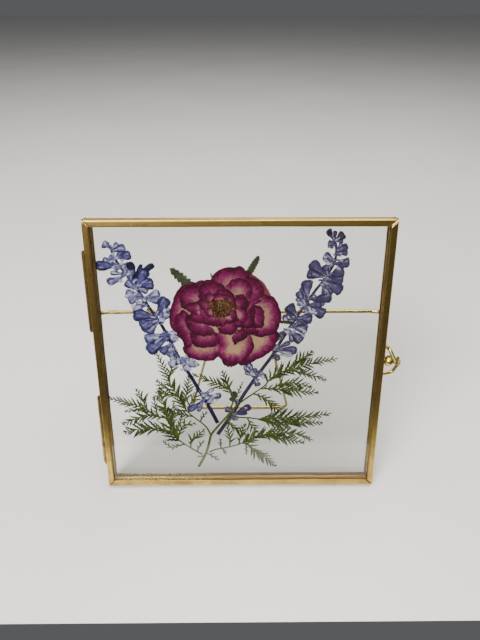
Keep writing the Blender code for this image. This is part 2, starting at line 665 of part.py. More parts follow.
def floret(line, root, tip, width):
    """A spoon-shaped outline from the nearest point of the stem's line, widest near its tip."""
    root, tip = Vector(root), Vector(tip)
    root = min(line, key=lambda point: (point - root).length)
    along = tip - root
    across = Vector((-along.y, along.x)).normalized() * (width / 2)
    stations = ((0.0, 0.4), (0.75, 1.0), (1.0, 0.45))
    left = [root + along * part + across * wide for part, wide in stations]
    right = [root + along * part - across * wide for part, wide in stations]
    return left + right[::-1]


def salvia(name, stem, florets, front_y):
    """A flower spike: its stem with the florets grown to it."""
    outlines = [strip(smooth_line(stem, 8.0), 1.7, 0.6)]
    line = smooth_line(stem, 0.5)
    outlines += [floret(line, *one) for one in florets]
    return pressed(name, outlines, front_y, LEAF, SALVIA)


# ---------------------------------------------------------------- fern

# Each frond of a branch: its line from root to tip, and its longest leaflet, in millimetres
FERN_STEM = [([(-24.1, 9.4), (-22.2, 13), (-20, 17.5), (-18.5, 22), (-17.3, 27), (-16.2, 31),
               (-12.5, 36), (-8.5, 41), (-5, 45.5), (-1.5, 49.4)], 0.0),
             ([(-19.4, 18.4), (-16.6, 17), (-13, 14.4)], 2.2)]
FERN_BRANCHES = {
    "fern_lower_left": (FERN_Y, [
        ([(-21.7, 17.8), (-25, 20), (-29, 22.8), (-32.5, 25.5), (-36, 29), (-38.8, 33), (-39, 38),
          (-40, 43), (-41.5, 48), (-42.5, 54), (-43.5, 58.8)], 6.0),
        ([(-38.8, 33), (-45, 34.6), (-52, 34.6), (-57, 34), (-63.4, 33)], 6.0),
        ([(-41, 41), (-47, 42.6), (-49.5, 45), (-54, 48), (-60, 50.5), (-66, 52.4), (-71.3, 54)], 4.2),
        ([(-49.5, 45), (-52, 48.6), (-53, 53), (-55.6, 58.2)], 4.0),
        ([(-53, 47.2), (-58, 46.6), (-62.6, 45.6)], 2.6),
        ([(-44, 41.8), (-49, 43), (-55, 42), (-60, 40), (-64.2, 38)], 4.6),
        ([(-31.6, 24.9), (-36, 23.4), (-39, 22.4), (-43, 26.2)], 2.2),
        ([(-35, 28), (-33.6, 33), (-31, 37), (-26, 37.6)], 3.8),
        ([(-28, 22), (-27.6, 27), (-24.6, 29.6), (-20.6, 33.6)], 3.6),
        ([(-24.6, 19.6), (-23, 23.4), (-20.8, 26.4)], 2.0),
    ]),
    "fern_middle_left": (BACK_FERN_Y, [
        ([(-16.6, 30), (-18.5, 34.5), (-21, 37.5), (-25, 41), (-29, 45), (-32, 50), (-33.5, 54),
          (-36, 59), (-39, 65), (-41, 72), (-44.4, 81)], 4.6),
        ([(-34, 55), (-38, 55.6), (-43, 56), (-46.6, 54)], 4.0),
        ([(-31, 47.5), (-30, 53), (-28.6, 59), (-27.6, 66)], 4.2),
        ([(-38.4, 64), (-36.6, 71), (-34.4, 78)], 4.2),
        ([(-26, 42), (-33, 43.6), (-39, 45.4), (-44, 46)], 4.2),
        ([(-22, 38.6), (-20.8, 42), (-18.8, 44.6)], 2.2),
    ]),
    "fern_centre": (FERN_Y, [
        ([(-5.6, 46.6), (-4, 52), (-4.8, 57), (-9, 60.4), (-14, 63), (-19, 65), (-24.4, 67.4)], 4.4),
        ([(-4.6, 56.5), (-7, 62), (-9.4, 68.8)], 3.8),
        ([(-3.9, 51), (-1.6, 56), (1, 63)], 1.8),
    ]),
    "fern_upper_right": (FERN_Y, [
        ([(-0.9, 50.1), (4, 54), (8, 57), (13, 61), (16, 65), (20, 68), (26, 70.6), (32, 72),
          (40, 74.6), (50, 76.4)], 5.4),
        ([(26, 70.6), (30, 75), (37, 80.2)], 4.6),
        ([(24, 70), (31, 69), (38, 67), (45, 64.4)], 3.8),
        ([(11, 59.2), (17, 59.2), (23, 58.4), (31, 57.6), (41, 56.8)], 4.6),
        ([(17, 59.4), (22, 61.8), (29, 62.4), (37.4, 60.4)], 4.2),
        ([(7, 56), (12, 54), (16, 50.5), (20, 46.6), (23, 44.6)], 4.2),
    ]),
    "fern_middle_right": (BACK_FERN_Y, [
        ([(-6.6, 43), (-1, 41.5), (5, 41), (10, 40.3), (20, 41), (30, 41), (40, 42), (48.4, 43.4)], 5.6),
        ([(9, 40.3), (16, 38), (24, 36.6), (33, 37.6), (44.2, 37.6)], 4.8),
        ([(4, 41), (6, 36), (9, 32.6)], 4.0),
        ([(-6.4, 42.9), (-7, 39), (-4.6, 35.6), (-1, 33), (3.6, 30.4)], 3.4),
    ]),
    "fern_lower_right": (FERN_Y, [
        ([(-17.6, 19.3), (-14, 21), (-9, 22), (-4, 23.3), (0, 24.8), (5, 27.5), (10, 30), (16, 30.8),
          (24, 31.6), (32, 31), (39.6, 27.2)], 5.4),
        ([(12, 30.4), (18, 29), (26, 27.2), (34.6, 25.4)], 4.6),
        ([(1, 25.2), (5, 23.6), (8, 20), (12, 16.4), (19.2, 10.4)], 5.0),
        ([(-11.3, 21.4), (-11.4, 27.6)], 1.8),
        ([(-10.4, 21.6), (-8.6, 18.4)], 1.6),
        ([(-6, 22.8), (-5.8, 28), (-7.2, 34.6)], 3.4),
        ([(-0.6, 24.6), (0, 30), (2.2, 36.6)], 3.8),
        ([(3.2, 24.2), (3.4, 18)], 1.4),
    ]),
}
LEAFLET_SPACING = 4.4
LEAFLET_BASE = 0.85
LEAFLET_ANGLE = math.radians(42)
FROND_WIDTH = 0.95
FROND_TIP_WIDTH = 0.35


def frond(points, longest, rolls):
    """The outlines of a midrib and of the pointed leaflets in pairs along it."""
    line = smooth_line(points, 6.0)
    outlines = [strip(line, FROND_WIDTH, FROND_TIP_WIDTH)]
    if not longest:
        return [strip(line, 1.5, 1.0)]
    lengths = [(b - a).length for a, b in zip(line, line[1:])]
    total = sum(lengths)
    count = max(2, round(total / LEAFLET_SPACING))
    for number in range(1, count):
        part = number / count
        place = part * total
        segment = 0
        while place > lengths[segment]:
            place -= lengths[segment]
            segment += 1
        way = (line[segment + 1] - line[segment]).normalized()
        foot = line[segment] + way * place
        full = min(1.0, 0.45 + 1.6 * part, 0.3 + 1.9 * (1 - part))
        for turn in (1, -1):
            length = longest * full * rolls.uniform(0.8, 1.05)
            angle = turn * (LEAFLET_ANGLE + rolls.uniform(-0.12, 0.12))
            out = Vector((
                way.x * math.cos(angle) - way.y * math.sin(angle),
                way.x * math.sin(angle) + way.y * math.cos(angle),
            ))
            outlines.append([foot - way * LEAFLET_BASE, foot + way * LEAFLET_BASE, foot + out * length])
    return outlines


def branch_outlines(fronds, rolls):
    """The fronds' outlines. Each one after the first springs from the nearest point of those before."""
    outlines, grown = [], []
    for points, longest in fronds:
        if grown:
            root = Vector(points[0])
            points = [min(grown, key=lambda point: (point - root).length), *points[1:]]
        grown += smooth_line(points, 0.5)
        outlines += frond(points, longest, rolls)
    return outlines


def fern():
    """The main stem, and the branches parted from it at the forks."""
    rolls = random.Random(7)
    pieces = [pressed("fern_stem", branch_outlines(FERN_STEM, rolls), FERN_Y, LEAF, LEAVES)]
    for name, (front_y, fronds) in FERN_BRANCHES.items():
        pieces.append(pressed(name, branch_outlines(fronds, rolls), front_y, LEAF, LEAVES))
    return pieces


# ---------------------------------------------------------------- assembly


def empty(name, place, parent=None):
    made = bpy.data.objects.new(name, None)
    bpy.context.scene.collection.objects.link(made)
    made.empty_display_size = 0.01
    made.location = place
    made.parent = parent
    return made


def hold(parent, pieces):
    """Parents pieces to an empty on a joint's axis, where they already are."""
    for piece in pieces:
        piece.parent = parent
        piece.location = -parent.location if parent.parent else Vector()
        helpers = [modifier.object for modifier in piece.modifiers if modifier.type == "BOOLEAN"]
        for helper in helpers:
            helper.parent = parent
            helper.location = piece.location


def lowest_point():
    """How far below the bottom edge's level the leaning rear frame's rounded corner reaches."""
    return min(
        inset * math.cos(LEAN) - (DEPTH - HALF_DEPTH + depth) * math.sin(LEAN)
        for inset, depth in channel_section()
    )


def centre_footprint(root):
    """Moves the leaning frame so that the origin is under the middle of its bounding box."""
    bpy.context.view_layer.update()
    corners = [
        made.matrix_world @ vertex.co
        for made in bpy.data.objects
        if made.type == "MESH"
        for vertex in made.data.vertices
    ]
    root.location.x -= (min(c.x for c in corners) + max(c.x for c in corners)) / 2
    root.location.y -= (min(c.y for c in corners) + max(c.y for c in corners)) / 2


def build():
    for old in list(bpy.data.objects):
        bpy.data.objects.remove(old)
    lift = -lowest_point()
    root = empty("leaning_frame", (0, 0, 0))
    door_axis = empty("door_axis", (HINGE_X, HINGE_Y, 0), root)
    stand_axis = empty("stand_axis", (0, BAR_Y, BAR_Z), root)

    front = frame_half("front", 0.0, WALL + PANE_SLACK)
    rear = frame_half("rear", DEPTH - HALF_DEPTH, DEPTH - PANE_BACK)
    bottoms = {"lower": LOWER_HINGE_Z, "upper": UPPER_HINGE_Z}
    for prefix, bottom in bottoms.items():
        rear_leaf, front_leaf, pin = hinge(prefix, bottom)
        rear += [rear_leaf, pin]
        front.append(front_leaf)
    front.append(ball_stud())
    rear += [clasp_loop(), crossbar()]
    rear += rose()
    rear.append(salvia("salvia_left", LEFT_STEM, LEFT_FLORETS, LEFT_SALVIA_Y))
    rear.append(salvia("salvia_right", RIGHT_STEM, RIGHT_FLORETS, RIGHT_SALVIA_Y))
    rear += fern()

    hold(root, rear)
    hold(door_axis, front)
    hold(stand_axis, [stand(open_angle(lift))])
    root.rotation_euler.x = -LEAN
    root.location.z = lift
    centre_footprint(root)


build()
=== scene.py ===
"""The looks of a pressed flower frame: brass channel, clear glass, a rose, salvias and a fern.

Lengths in the sections are millimetres in the upright frame: across from its middle, depth from
its front face, and height from its bottom edge. place() leans them back into the scene.
"""

import json
import math

import bpy
import numpy as np
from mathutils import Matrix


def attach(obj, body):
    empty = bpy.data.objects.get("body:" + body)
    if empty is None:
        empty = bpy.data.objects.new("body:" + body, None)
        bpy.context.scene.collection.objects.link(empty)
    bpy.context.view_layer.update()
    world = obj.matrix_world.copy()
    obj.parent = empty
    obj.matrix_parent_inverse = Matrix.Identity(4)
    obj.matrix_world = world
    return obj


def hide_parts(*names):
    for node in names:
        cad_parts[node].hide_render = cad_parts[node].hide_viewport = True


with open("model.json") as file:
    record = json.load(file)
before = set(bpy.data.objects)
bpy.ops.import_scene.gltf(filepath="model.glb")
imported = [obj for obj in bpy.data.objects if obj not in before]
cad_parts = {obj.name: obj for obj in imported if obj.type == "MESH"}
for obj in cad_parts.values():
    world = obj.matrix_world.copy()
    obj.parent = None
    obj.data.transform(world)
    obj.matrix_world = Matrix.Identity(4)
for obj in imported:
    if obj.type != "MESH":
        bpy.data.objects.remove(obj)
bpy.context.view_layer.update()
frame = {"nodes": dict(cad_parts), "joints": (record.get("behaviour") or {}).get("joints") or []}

# ------------------------------------------------------------------ the lean, and the camera
# The frame leans back by 15 degrees on its stand. The camera looks at it from in front, held
# above its top edge and tilted down.

LEAN = math.radians(15)
AXES = 0.001 * np.array(
    [[1, 0, 0], [0, math.cos(LEAN), -math.sin(LEAN)], [0, math.sin(LEAN), math.cos(LEAN)]]
)
BAR_DEPTH, BAR_HEIGHT = 10.5, 101.1
STAND_AXIS = [np.array(joint["pos_m"]) for joint in frame["joints"] if joint["name"] == "stand_hinge"][0]
CORNER = STAND_AXIS - np.array([0, BAR_DEPTH, BAR_HEIGHT]) @ AXES


def place(points):
    """World points, in metres: the frame's corner plus each number times the leaning axes."""
    return CORNER + np.asarray(points, float) @ AXES


def linked(name, data):
    """A new object in the scene."""
    made = bpy.data.objects.new(name, data)
    bpy.context.scene.collection.objects.link(made)
    return made


CAMERA_SPOT = (-1.70, -236.9, 184.6)
CAMERA_YAW, CAMERA_PITCH = 0.0071, -0.3428
camera_data = bpy.data.cameras.new("camera")
camera_data.sensor_fit = "HORIZONTAL"
camera_data.sensor_width = 36
camera_data.lens = 37.5
camera_data.clip_start = 0.01
camera = linked("camera", camera_data)
camera.location = place(CAMERA_SPOT)
camera.rotation_euler = (math.pi / 2 + CAMERA_PITCH - LEAN, 0, -CAMERA_YAW)
bpy.context.scene.camera = camera

# ------------------------------------------------------------------ table top
# A plain pale table, matt enough to give only a soft reflection of the bottom rail.


def add(tree, kind, values=(), **settings):
    """A shader node with its settings, and its inputs set to a value or linked to a socket."""
    made = tree.nodes.new("ShaderNode" + kind)
    for key, value in settings.items():
        setattr(made, key, value)
    for key, value in dict(values).items():
        if isinstance(value, bpy.types.NodeSocket):
            tree.links.new(value, made.inputs[key])
        else:
            made.inputs[key].default_value = value
    return made


def sums(tree, operation, *numbers, clamp=False):
    """The result of one sum on numbers or sockets."""
    return add(tree, "Math", dict(enumerate(numbers)), operation=operation, use_clamp=clamp).outputs[0]


def ramp(tree, factor, stops):
    """The colour of a ramp at the factor. stops are (place, (red, green, blue))."""
    made = add(tree, "ValToRGB", {"Fac": factor})
    elements = made.color_ramp.elements
    while len(elements) < len(stops):
        elements.new(1.0)
    for element, (spot, colour) in zip(elements, stops):
        element.position = spot
        element.color = (*colour, 1)
    return made.outputs["Color"]


def object_place(tree):
    """Where a point is on its object, in metres."""
    return add(tree, "TexCoord").outputs["Object"]


def noise(tree, where, scale, detail=3.0, roughness=0.5):
    """Cloudy noise from 0 to 1. Its clouds are one divided by the scale across."""
    return add(
        tree, "TexNoise", {"Vector": where, "Scale": scale, "Detail": detail, "Roughness": roughness}
    ).outputs["Fac"]


SOCKET_KINDS = {"Base Color": "Color", "Roughness": "Float", "Metallic": "Float", "Normal": "Vector"}


def group(name, inputs, outputs=("Base Color", "Roughness", "Normal")):
    """An empty node group with (name, kind, value) inputs, and outputs named as the shader's own."""
    tree = bpy.data.node_groups.new(name, "ShaderNodeTree")
    for label, kind, value in inputs:
        socket = tree.interface.new_socket(label, in_out="INPUT", socket_type="NodeSocket" + kind)
        if value is not None:
            socket.default_value = value
    for label in outputs:
        kind = SOCKET_KINDS[label]
        tree.interface.new_socket(label, in_out="OUTPUT", socket_type="NodeSocket" + kind)
    return tree, tree.nodes.new("NodeGroupInput").outputs, tree.nodes.new("NodeGroupOutput").inputs


def give(tree, ends, *results):
    """Links the results to the group's outputs, in their order."""
    for result, end in zip(results, ends):
        tree.links.new(result, end)


def material(name, tree, settings=(), values=(), outputs=("Base Color", "Roughness", "Normal"), where=None):
    """A material fed by a node group: settings go to the group, values to the shader itself.

    where makes the vector that the group's Where input reads.
    """
    made = bpy.data.materials.new(name)
    made.use_nodes = True
    nodes = made.node_tree
    shader = nodes.nodes["Principled BSDF"]
    used = nodes.nodes.new("ShaderNodeGroup")
    used.node_tree = tree
    for owner, numbers in ((shader, values), (used, settings)):
        for key, value in dict(numbers).items():
            owner.inputs[key].default_value = value
    if where is not None:
        nodes.links.new(where(nodes), used.inputs["Where"])
    for label in outputs:
        nodes.links.new(used.outputs[label], shader.inputs[label])
    return made


FLOOR_HALF, FLOOR_NEAR, FLOOR_FAR = 3.0, -0.105, 4.0
floor_corners = [
    (-FLOOR_HALF, FLOOR_NEAR, 0),
    (FLOOR_HALF, FLOOR_NEAR, 0),
    (FLOOR_HALF, FLOOR_FAR, 0),
    (-FLOOR_HALF, FLOOR_FAR, 0),
]
floor_mesh = bpy.data.meshes.new("floor")
floor_mesh.from_pydata(floor_corners, [], [(0, 1, 2, 3)])
floor = linked("floor", floor_mesh)
pale, _, ends = group("pale_table_top", (), ("Base Color", "Roughness"))
cloud = noise(pale, object_place(pale), 5.0, 2.0)
cloudy = ramp(pale, cloud, ((0.3, (0.70, 0.69, 0.67)), (0.7, (0.73, 0.72, 0.70))))
give(pale, ends, cloudy, sums(pale, "MULTIPLY_ADD", cloud, 0.1, 0.28))
floor_mesh.materials.append(material("pale_table_top", pale, outputs=("Base Color", "Roughness")))

# ------------------------------------------------------------------ lamps
# One broad soft lamp overhead, a smaller one high on the left behind the camera, and a dim room.


def lamp(name, spot, aim, size, power, colour):
    """A square soft lamp at a spot, facing the aim; all in metres."""
    data = bpy.data.lights.new(name, "AREA")
    data.size = size
    data.energy = power
    data.color = colour
    made = linked(name, data)
    made.location = spot
    way = np.array(aim) - np.array(spot)
    made.rotation_euler = (math.atan2(math.hypot(way[0], way[1]), -way[2]), 0, math.atan2(-way[0], way[1]))


lamp("overhead_lamp", (0.1, 0.1, 1.15), (0, 0, 0.07), size=1.1, power=24, colour=(1.0, 0.965, 0.90))
lamp("left_lamp", (-0.75, -1.0, 1.05), (0, 0, 0.08), size=0.8, power=46, colour=(1.0, 0.985, 0.96))
world = bpy.data.worlds.new("dim_room")
world.use_nodes = True
room = world.node_tree.nodes["Background"].inputs
room["Color"].default_value = (0.80, 0.82, 0.85, 1)
room["Strength"].default_value = 0.13
bpy.context.scene.world = world

# ------------------------------------------------------------------ brass channel, both halves
# Each half of the frame is thin brass sheet folded into a square-cornered channel, cut at 45
# degrees, soft-soldered at the corners and rubbed to a satin antique finish.

SIDE = 150.0
DEPTH, HALF_DEPTH = 8.2, 3.95
LIP = 3.35
SHEET = 0.5
FOLD = 0.7


def grid_quads(rows, columns):
    """Quads between closed rows of points: each row's last point is joined to its first."""
    row = np.arange(rows - 1)[:, None] * columns
    column = np.arange(columns)[None, :]
    following = (column + 1) % columns
    corners = [row + column, row + following, row + columns + following, row + columns + column]
    return np.stack(corners, -1).reshape(-1, 4)


def tubes(rings):
    """Points and faces of closed tubes from an array (tube, station, corner, 3), capped at both ends.

    The faces are a list of arrays: the quads, the caps at the start and the caps at the end.
    """
    count, stations, corners, _ = rings.shape
    first = (np.arange(count) * stations * corners)[:, None]
    quads = (first[..., None] + grid_quads(stations, corners)[None]).reshape(-1, 4)
    near = first + np.arange(corners)[::-1]
    far = first + (stations - 1) * corners + np.arange(corners)
    return rings.reshape(-1, 3), [quads, near, far]


def make_mesh(name, shape, attributes=()):
    """A smooth object from upright (points, faces), with a number for each point under each name."""
    points, faces = shape
    mesh = bpy.data.meshes.new(name)
    mesh.from_pydata(place(points), [], [face for block in faces for face in block.tolist()])
    for label, values in dict(attributes).items():
        mesh.attributes.new(label, "FLOAT", "POINT").data.foreach_set("value", np.ravel(values))
    mesh.shade_smooth()
    return linked(name, mesh)


def dress(piece, body, slot, finish, *nodes):
    """Gives a piece its material and its body, and hides the CAD nodes that it stands for. The slot is not
    used.
    """
    piece.data.materials.append(finish)
    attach(piece, body)
    if nodes:
        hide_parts(*nodes)


def spread(tree, value, low, high, to_low=0.0, to_high=1.0):
    """The value carried from one range to another, and kept inside it."""
    return add(
        tree,
        "MapRange",
        {"Value": value, "From Min": low, "From Max": high, "To Min": to_low, "To Max": to_high},
    ).outputs["Result"]


def mixed(tree, factor, first, second):
    """Two colours mixed by the factor."""
    return add(tree, "Mix", {0: factor, 6: first, 7: second}, data_type="RGBA").outputs[2]


def bump(tree, height, strength, distance, under=None):
    """A bump of the height, on top of another bump where one is given."""
    values = {"Height": height, "Strength": strength, "Distance": distance}
    if under is not None:
        values["Normal"] = under
    return add(tree, "Bump", values).outputs["Normal"]


def attribute(tree, name):
    """The number that a mesh keeps for each of its points under the name."""
    return add(tree, "Attribute", attribute_name=name).outputs["Fac"]


BRASS_OUTPUTS = ("Base Color", "Roughness", "Metallic", "Normal")
brass, ins, outs = group(
    "antique_brass",
    (
        ("Where", "Vector", None),
        ("Bright", "Color", (0.68, 0.46, 0.12, 1)),
        ("Dull", "Color", (0.34, 0.235, 0.075, 1)),
        ("Patch size", "Float", 0.010),
        ("Scratches", "Float", 0.25),
        ("Shine", "Float", 0.22),
    ),
    BRASS_OUTPUTS,
)
spot = object_place(brass)
patches = noise(brass, spot, sums(brass, "DIVIDE", 1.0, ins["Patch size"]), 6.0, 0.62)
specks = noise(brass, spot, 2300.0, 3.0)
streaks = noise(brass, ins["Where"], 1.0, 4.0, 0.6)
wear = spread(brass, sums(brass, "ADD", patches, sums(brass, "MULTIPLY", streaks, 0.7)), 0.68, 0.98)
speckled = spread(brass, specks, 0.60, 0.74, 0.0, 0.5)
# painted_light is a number for each point that paints light and shade into the brass: painted shade below 0,
# a painted highlight up to 0.45, and the painted light of the bottom channel's hollow above that, with
# painted glints from 0.75
painted_light = attribute(brass, "painted_light")
painted_lit_hollow = spread(brass, painted_light, 0.45, 0.70)
brass_colour = mixed(brass, wear, ins["Dull"], ins["Bright"])
# The specks are the brass's own dark spots; the other three colours are painted shade, a painted highlight
# and the painted light in the bottom channel's hollow
for amount, colour in (
    (speckled, (0.17, 0.11, 0.04, 1)),
    (spread(brass, painted_light, 0.0, -1.0), (0.080, 0.044, 0.015, 1)),
    (spread(brass, painted_light, 0.0, 0.45), (1.0, 0.62, 0.12, 1)),
    (painted_lit_hollow, (0.42, 0.215, 0.028, 1)),
):
    brass_colour = mixed(brass, amount, brass_colour, colour)
# Painted glints of light in the bottom channel's hollow
painted_glints = spread(brass, noise(brass, spot, 1300.0, 3.0), 0.48, 0.56)
painted_glints = sums(brass, "MULTIPLY", painted_glints, spread(brass, painted_light, 0.75, 1.0))
satin = sums(brass, "MULTIPLY_ADD", sums(brass, "SUBTRACT", 1.0, wear), 0.13, ins["Shine"])
drawn = bump(brass, streaks, ins["Scratches"], 0.00006)
give(
    brass,
    outs,
    mixed(brass, painted_glints, brass_colour, (1.0, 0.80, 0.26, 1)),
    sums(brass, "MULTIPLY_ADD", specks, 0.1, satin),
    # Less metallic where the bottom channel's hollow has painted light
    sums(brass, "MULTIPLY_ADD", painted_lit_hollow, -0.7, 1.0),
    bump(brass, noise(brass, spot, 300.0, 2.0), 0.4, 0.0002, drawn),
)


def scaled(tree, *sockets):
    """A vector from three (socket, factor), each number times its factor."""
    numbers = [sums(tree, "MULTIPLY", socket, factor) for socket, factor in sockets]
    return add(tree, "CombineXYZ", dict(enumerate(numbers))).outputs["Vector"]


def along_channel(tree):
    """Lines drawn along a channel: the way along it squeezed, and the way round it widened."""
    factors = (("along", 0.05), ("round", 2.6), ("length_number", 1.0))
    return scaled(tree, *((attribute(tree, name), factor) for name, factor in factors))


def along_height(tree):
    """Lines drawn up and down a piece that has no measures of its own."""
    return add(
        tree, "Mapping", {"Vector": object_place(tree), "Scale": (1500.0, 1500.0, 60.0)}
    ).outputs["Vector"]


def plain_brass(name, bright, dull, patch_size, scratches=0.25, shine=0.22):
    """A brass finish for pieces that have no measures of their own."""
    settings = {"Bright": (*bright, 1), "Dull": (*dull, 1), "Patch size": patch_size}
    settings |= {"Scratches": scratches, "Shine": shine}
    return material(name, brass, settings, {"Metallic": 1.0}, where=along_height)


CHANNEL_BRASS = material("antique_brass_channel", brass, outputs=BRASS_OUTPUTS, where=along_channel)
# The top corners' solder: its own pale tone, raised to a painted highlight along the ridge
SOLDER = plain_brass("brass_toned_solder_with_painted_highlight", (1.0, 0.84, 0.50), (0.86, 0.66, 0.32), 0.003, shine=0.16)
DARK_SEAM = plain_brass("tarnished_seam", (0.20, 0.13, 0.06), (0.08, 0.05, 0.025), 0.003, shine=0.4)


def arc(inset, depth, radius, start, end, steps):
    """Points of an arc in the channel's cross-section, angles in degrees."""
    angle = np.radians(np.linspace(start, end, steps))
    return np.stack([inset + radius * np.cos(angle), depth + radius * np.sin(angle)], -1)


LIP_EDGE = SHEET / 2
LIP_TIP = LIP - LIP_EDGE
OUTER_FOLDS = [arc(FOLD, FOLD, FOLD, 270, 180, 7), arc(FOLD, HALF_DEPTH - FOLD, FOLD, 180, 90, 7)]


def channel_outline():
    """The channel's cross-section as (inset, depth): two folds, and a rounded edge on each lip."""
    inner = FOLD - SHEET
    flat = np.linspace(0, 1, 6)[1:-1, None]
    front_face = (1 - flat) * [LIP_TIP, 0] + flat * [FOLD, 0]
    back_face = (1 - flat) * [FOLD, HALF_DEPTH] + flat * [LIP_TIP, HALF_DEPTH]
    inside = [
        arc(LIP_TIP, HALF_DEPTH - LIP_EDGE, LIP_EDGE, 90, -90, 6),
        arc(FOLD, HALF_DEPTH - FOLD, inner, 90, 180, 3),
        arc(FOLD, FOLD, inner, 180, 270, 3),
        arc(LIP_TIP, LIP_EDGE, LIP_EDGE, 90, -90, 6),
    ]
    return np.concatenate([front_face, *OUTER_FOLDS, back_face, *inside])


def run_of(path):
    """The distance along a path to each of its points."""
    return np.concatenate([[0], np.cumsum(np.linalg.norm(np.diff(path, axis=0), axis=1))])


# The lips' unevenness: the size of each wave, and its half waves in a length
LIP_WAVES = ((0.035, 1.5), (0.022, 4.1), (0.015, 9.7), (0.01, 21.3))
# Where the channel's hollow starts and ends on the way round, and how blurred its edges look
HOLLOWS = ((9.6, 20.0, 1.0), (8.9, 18.2, 0.3))
# How dark the painted shade is on the outside of the two upright lengths, above their lowest part
SIDE_SHADE = {"left": 0.55, "right": 0.38}
RAIL_STATIONS = 110


def rail(side, front, seed):
    """One channel length: the cross-section carried from mitre to mitre, its lips slightly uneven.

    Along the length, sine waves of four wavelengths move the lips in and out by up to 0.08 mm.
    Its measures are the way along, the way round, a number of its own, and its painted light:
    above 0 for the lit gold painted in the bottom length's hollow and the painted highlight along the
    top length's front top fold, and below 0 for painted shade.
    """
    outline = channel_outline()
    station = np.linspace(-1, 1, RAIL_STATIONS)[:, None]
    phases = np.random.default_rng(seed).uniform(0, math.tau, 4)
    wander = sum(
        size * np.sin(turns * math.pi * station + phase)
        for (size, turns), phase in zip(LIP_WAVES, phases)
    )
    lip_share = np.clip((outline[:, 0] - 1.2) / 1.6, 0, 1)[None]
    inset = outline[None, :, 0] + wander * lip_share
    depth = front + outline[None, :, 1] + 0.5 * wander * lip_share * (1 - np.abs(station))
    across = SIDE / 2 - inset
    along = station * (SIDE / 2 - outline[None, :, 0] - 0.01)
    x, z = {
        "top": (along, across),
        "bottom": (along, -across),
        "left": (-across, along),
        "right": (across, along),
    }[side]
    rings = np.stack([x, depth, z + SIDE / 2], -1)
    way_round = run_of(outline)
    start, end, blur = HOLLOWS[side == "bottom"]
    hollow = np.clip(np.minimum(way_round - start, end - way_round) / blur, 0, 1)
    if side == "bottom":
        # The bottom length's hollow is painted as lit gold, with painted glints towards its left end
        painted_light = hollow * (0.75 + 0.25 * np.clip((-15 - along) / 15, 0, 1))
    elif side == "top":
        # The top length: a painted highlight along its front top fold, and painted shade in its hollow
        painted_light = 0.45 * np.exp(-(((way_round - 3.0) / 0.5) ** 2)) - 0.2 * hollow + 0 * along
    else:
        # The upright lengths: painted shade on their outside above their lowest part, and darker painted
        # shade in their hollows
        painted_light = -SIDE_SHADE[side] * np.clip((along + 63) / 40, 0, 1) * (1 - hollow) - 0.6 * hollow
    measures = [along, way_round + 0 * along, 3.7 * seed + 0 * along, painted_light]
    if side in ("top", "left"):
        rings, measures = rings[:, ::-1], [values[:, ::-1] for values in measures]
    return tubes(rings[None]), dict(zip(("along", "round", "length_number", "painted_light"), measures))


def unit(vectors):
    """The vectors at length one."""
    return vectors / np.maximum(np.linalg.norm(vectors, axis=-1, keepdims=True), 1e-9)


def even(path, spacing):
    """The path's points moved so that they are evenly spaced along it."""
    run = run_of(path)
    steps = np.linspace(0, run[-1], max(3, int(round(run[-1] / spacing)) + 1))
    return np.stack([np.interp(steps, run, path[:, i]) for i in range(path.shape[1])], -1)


def round_tube(path, radius, sides=20, reference=(0, 1, 0)):
    """One round tube: rings of the radius about each path point, square to the path."""
    path = np.asarray(path, float)
    way = unit(np.gradient(path, axis=0))
    side = unit(np.cross(way, reference))
    up = np.cross(way, side)
    angle = np.linspace(0, math.tau, sides, endpoint=False)[None, :, None]
    spokes = np.cos(angle) * side[:, None] + np.sin(angle) * up[:, None]
    return path[:, None] + np.broadcast_to(radius, len(path))[:, None, None] * spokes


def domed(path, radius, steep=1.0):
    """The radius at each point of the path, drawn in to a dome at each end."""
    run = run_of(path)
    near = np.clip(np.minimum(run, run[-1] - run) / np.maximum(radius * steep, 1e-9), 0, 1)
    return radius * np.sqrt(np.clip(1 - (1 - near) ** 2, 0.02, 1))


def corner_seams(front, up, bead, seed):
    """Uneven ridges of solder round the outside of the channel, along two corners' mitres."""
    path = even(np.concatenate([[[LIP_TIP, 0.0]], *OUTER_FOLDS, [[LIP_TIP, HALF_DEPTH]]]), 0.2)
    rolls = np.random.default_rng(seed)
    rings = []
    for across in (-1, 1):
        reach = SIDE / 2 - path[:, 0]
        line = np.stack([across * reach, front + path[:, 1], up * reach + SIDE / 2], -1)
        uneven = bead * (1 + 0.14 * np.convolve(rolls.normal(size=len(line)), np.ones(5) / 3, "same"))
        rings.append(round_tube(line, domed(line, uneven), 10, (across, 0, -up)))
    return tubes(np.stack(rings))


for half, body, front in (("front", "front_frame", 0.0), ("rear", "rear_frame", DEPTH - HALF_DEPTH)):
    is_rear = half == "rear"
    for side_number, side in enumerate(("top", "bottom", "left", "right")):
        shape, measures = rail(side, front, 10 * side_number + is_rear)
        piece = make_mesh(f"{half}_{side}_channel", shape, measures)
        dress(piece, body, "brass", CHANNEL_BRASS, f"{half}_{side}_rail")
    for name, up, bead, seed, finish in (
        ("top_corner_solder", 1, 0.23, 77, SOLDER),
        ("bottom_corner_seam", -1, 0.07, 79, DARK_SEAM),
    ):
        seams = make_mesh(f"{half}_{name}", corner_seams(front, up, bead, seed + is_rear))
        dress(seams, body, "brass", finish)

# ------------------------------------------------------------------ glass panes
# Two plain panes of clear float glass, wiped nearly clean. Each is held in the hollow of its half's
# channel.

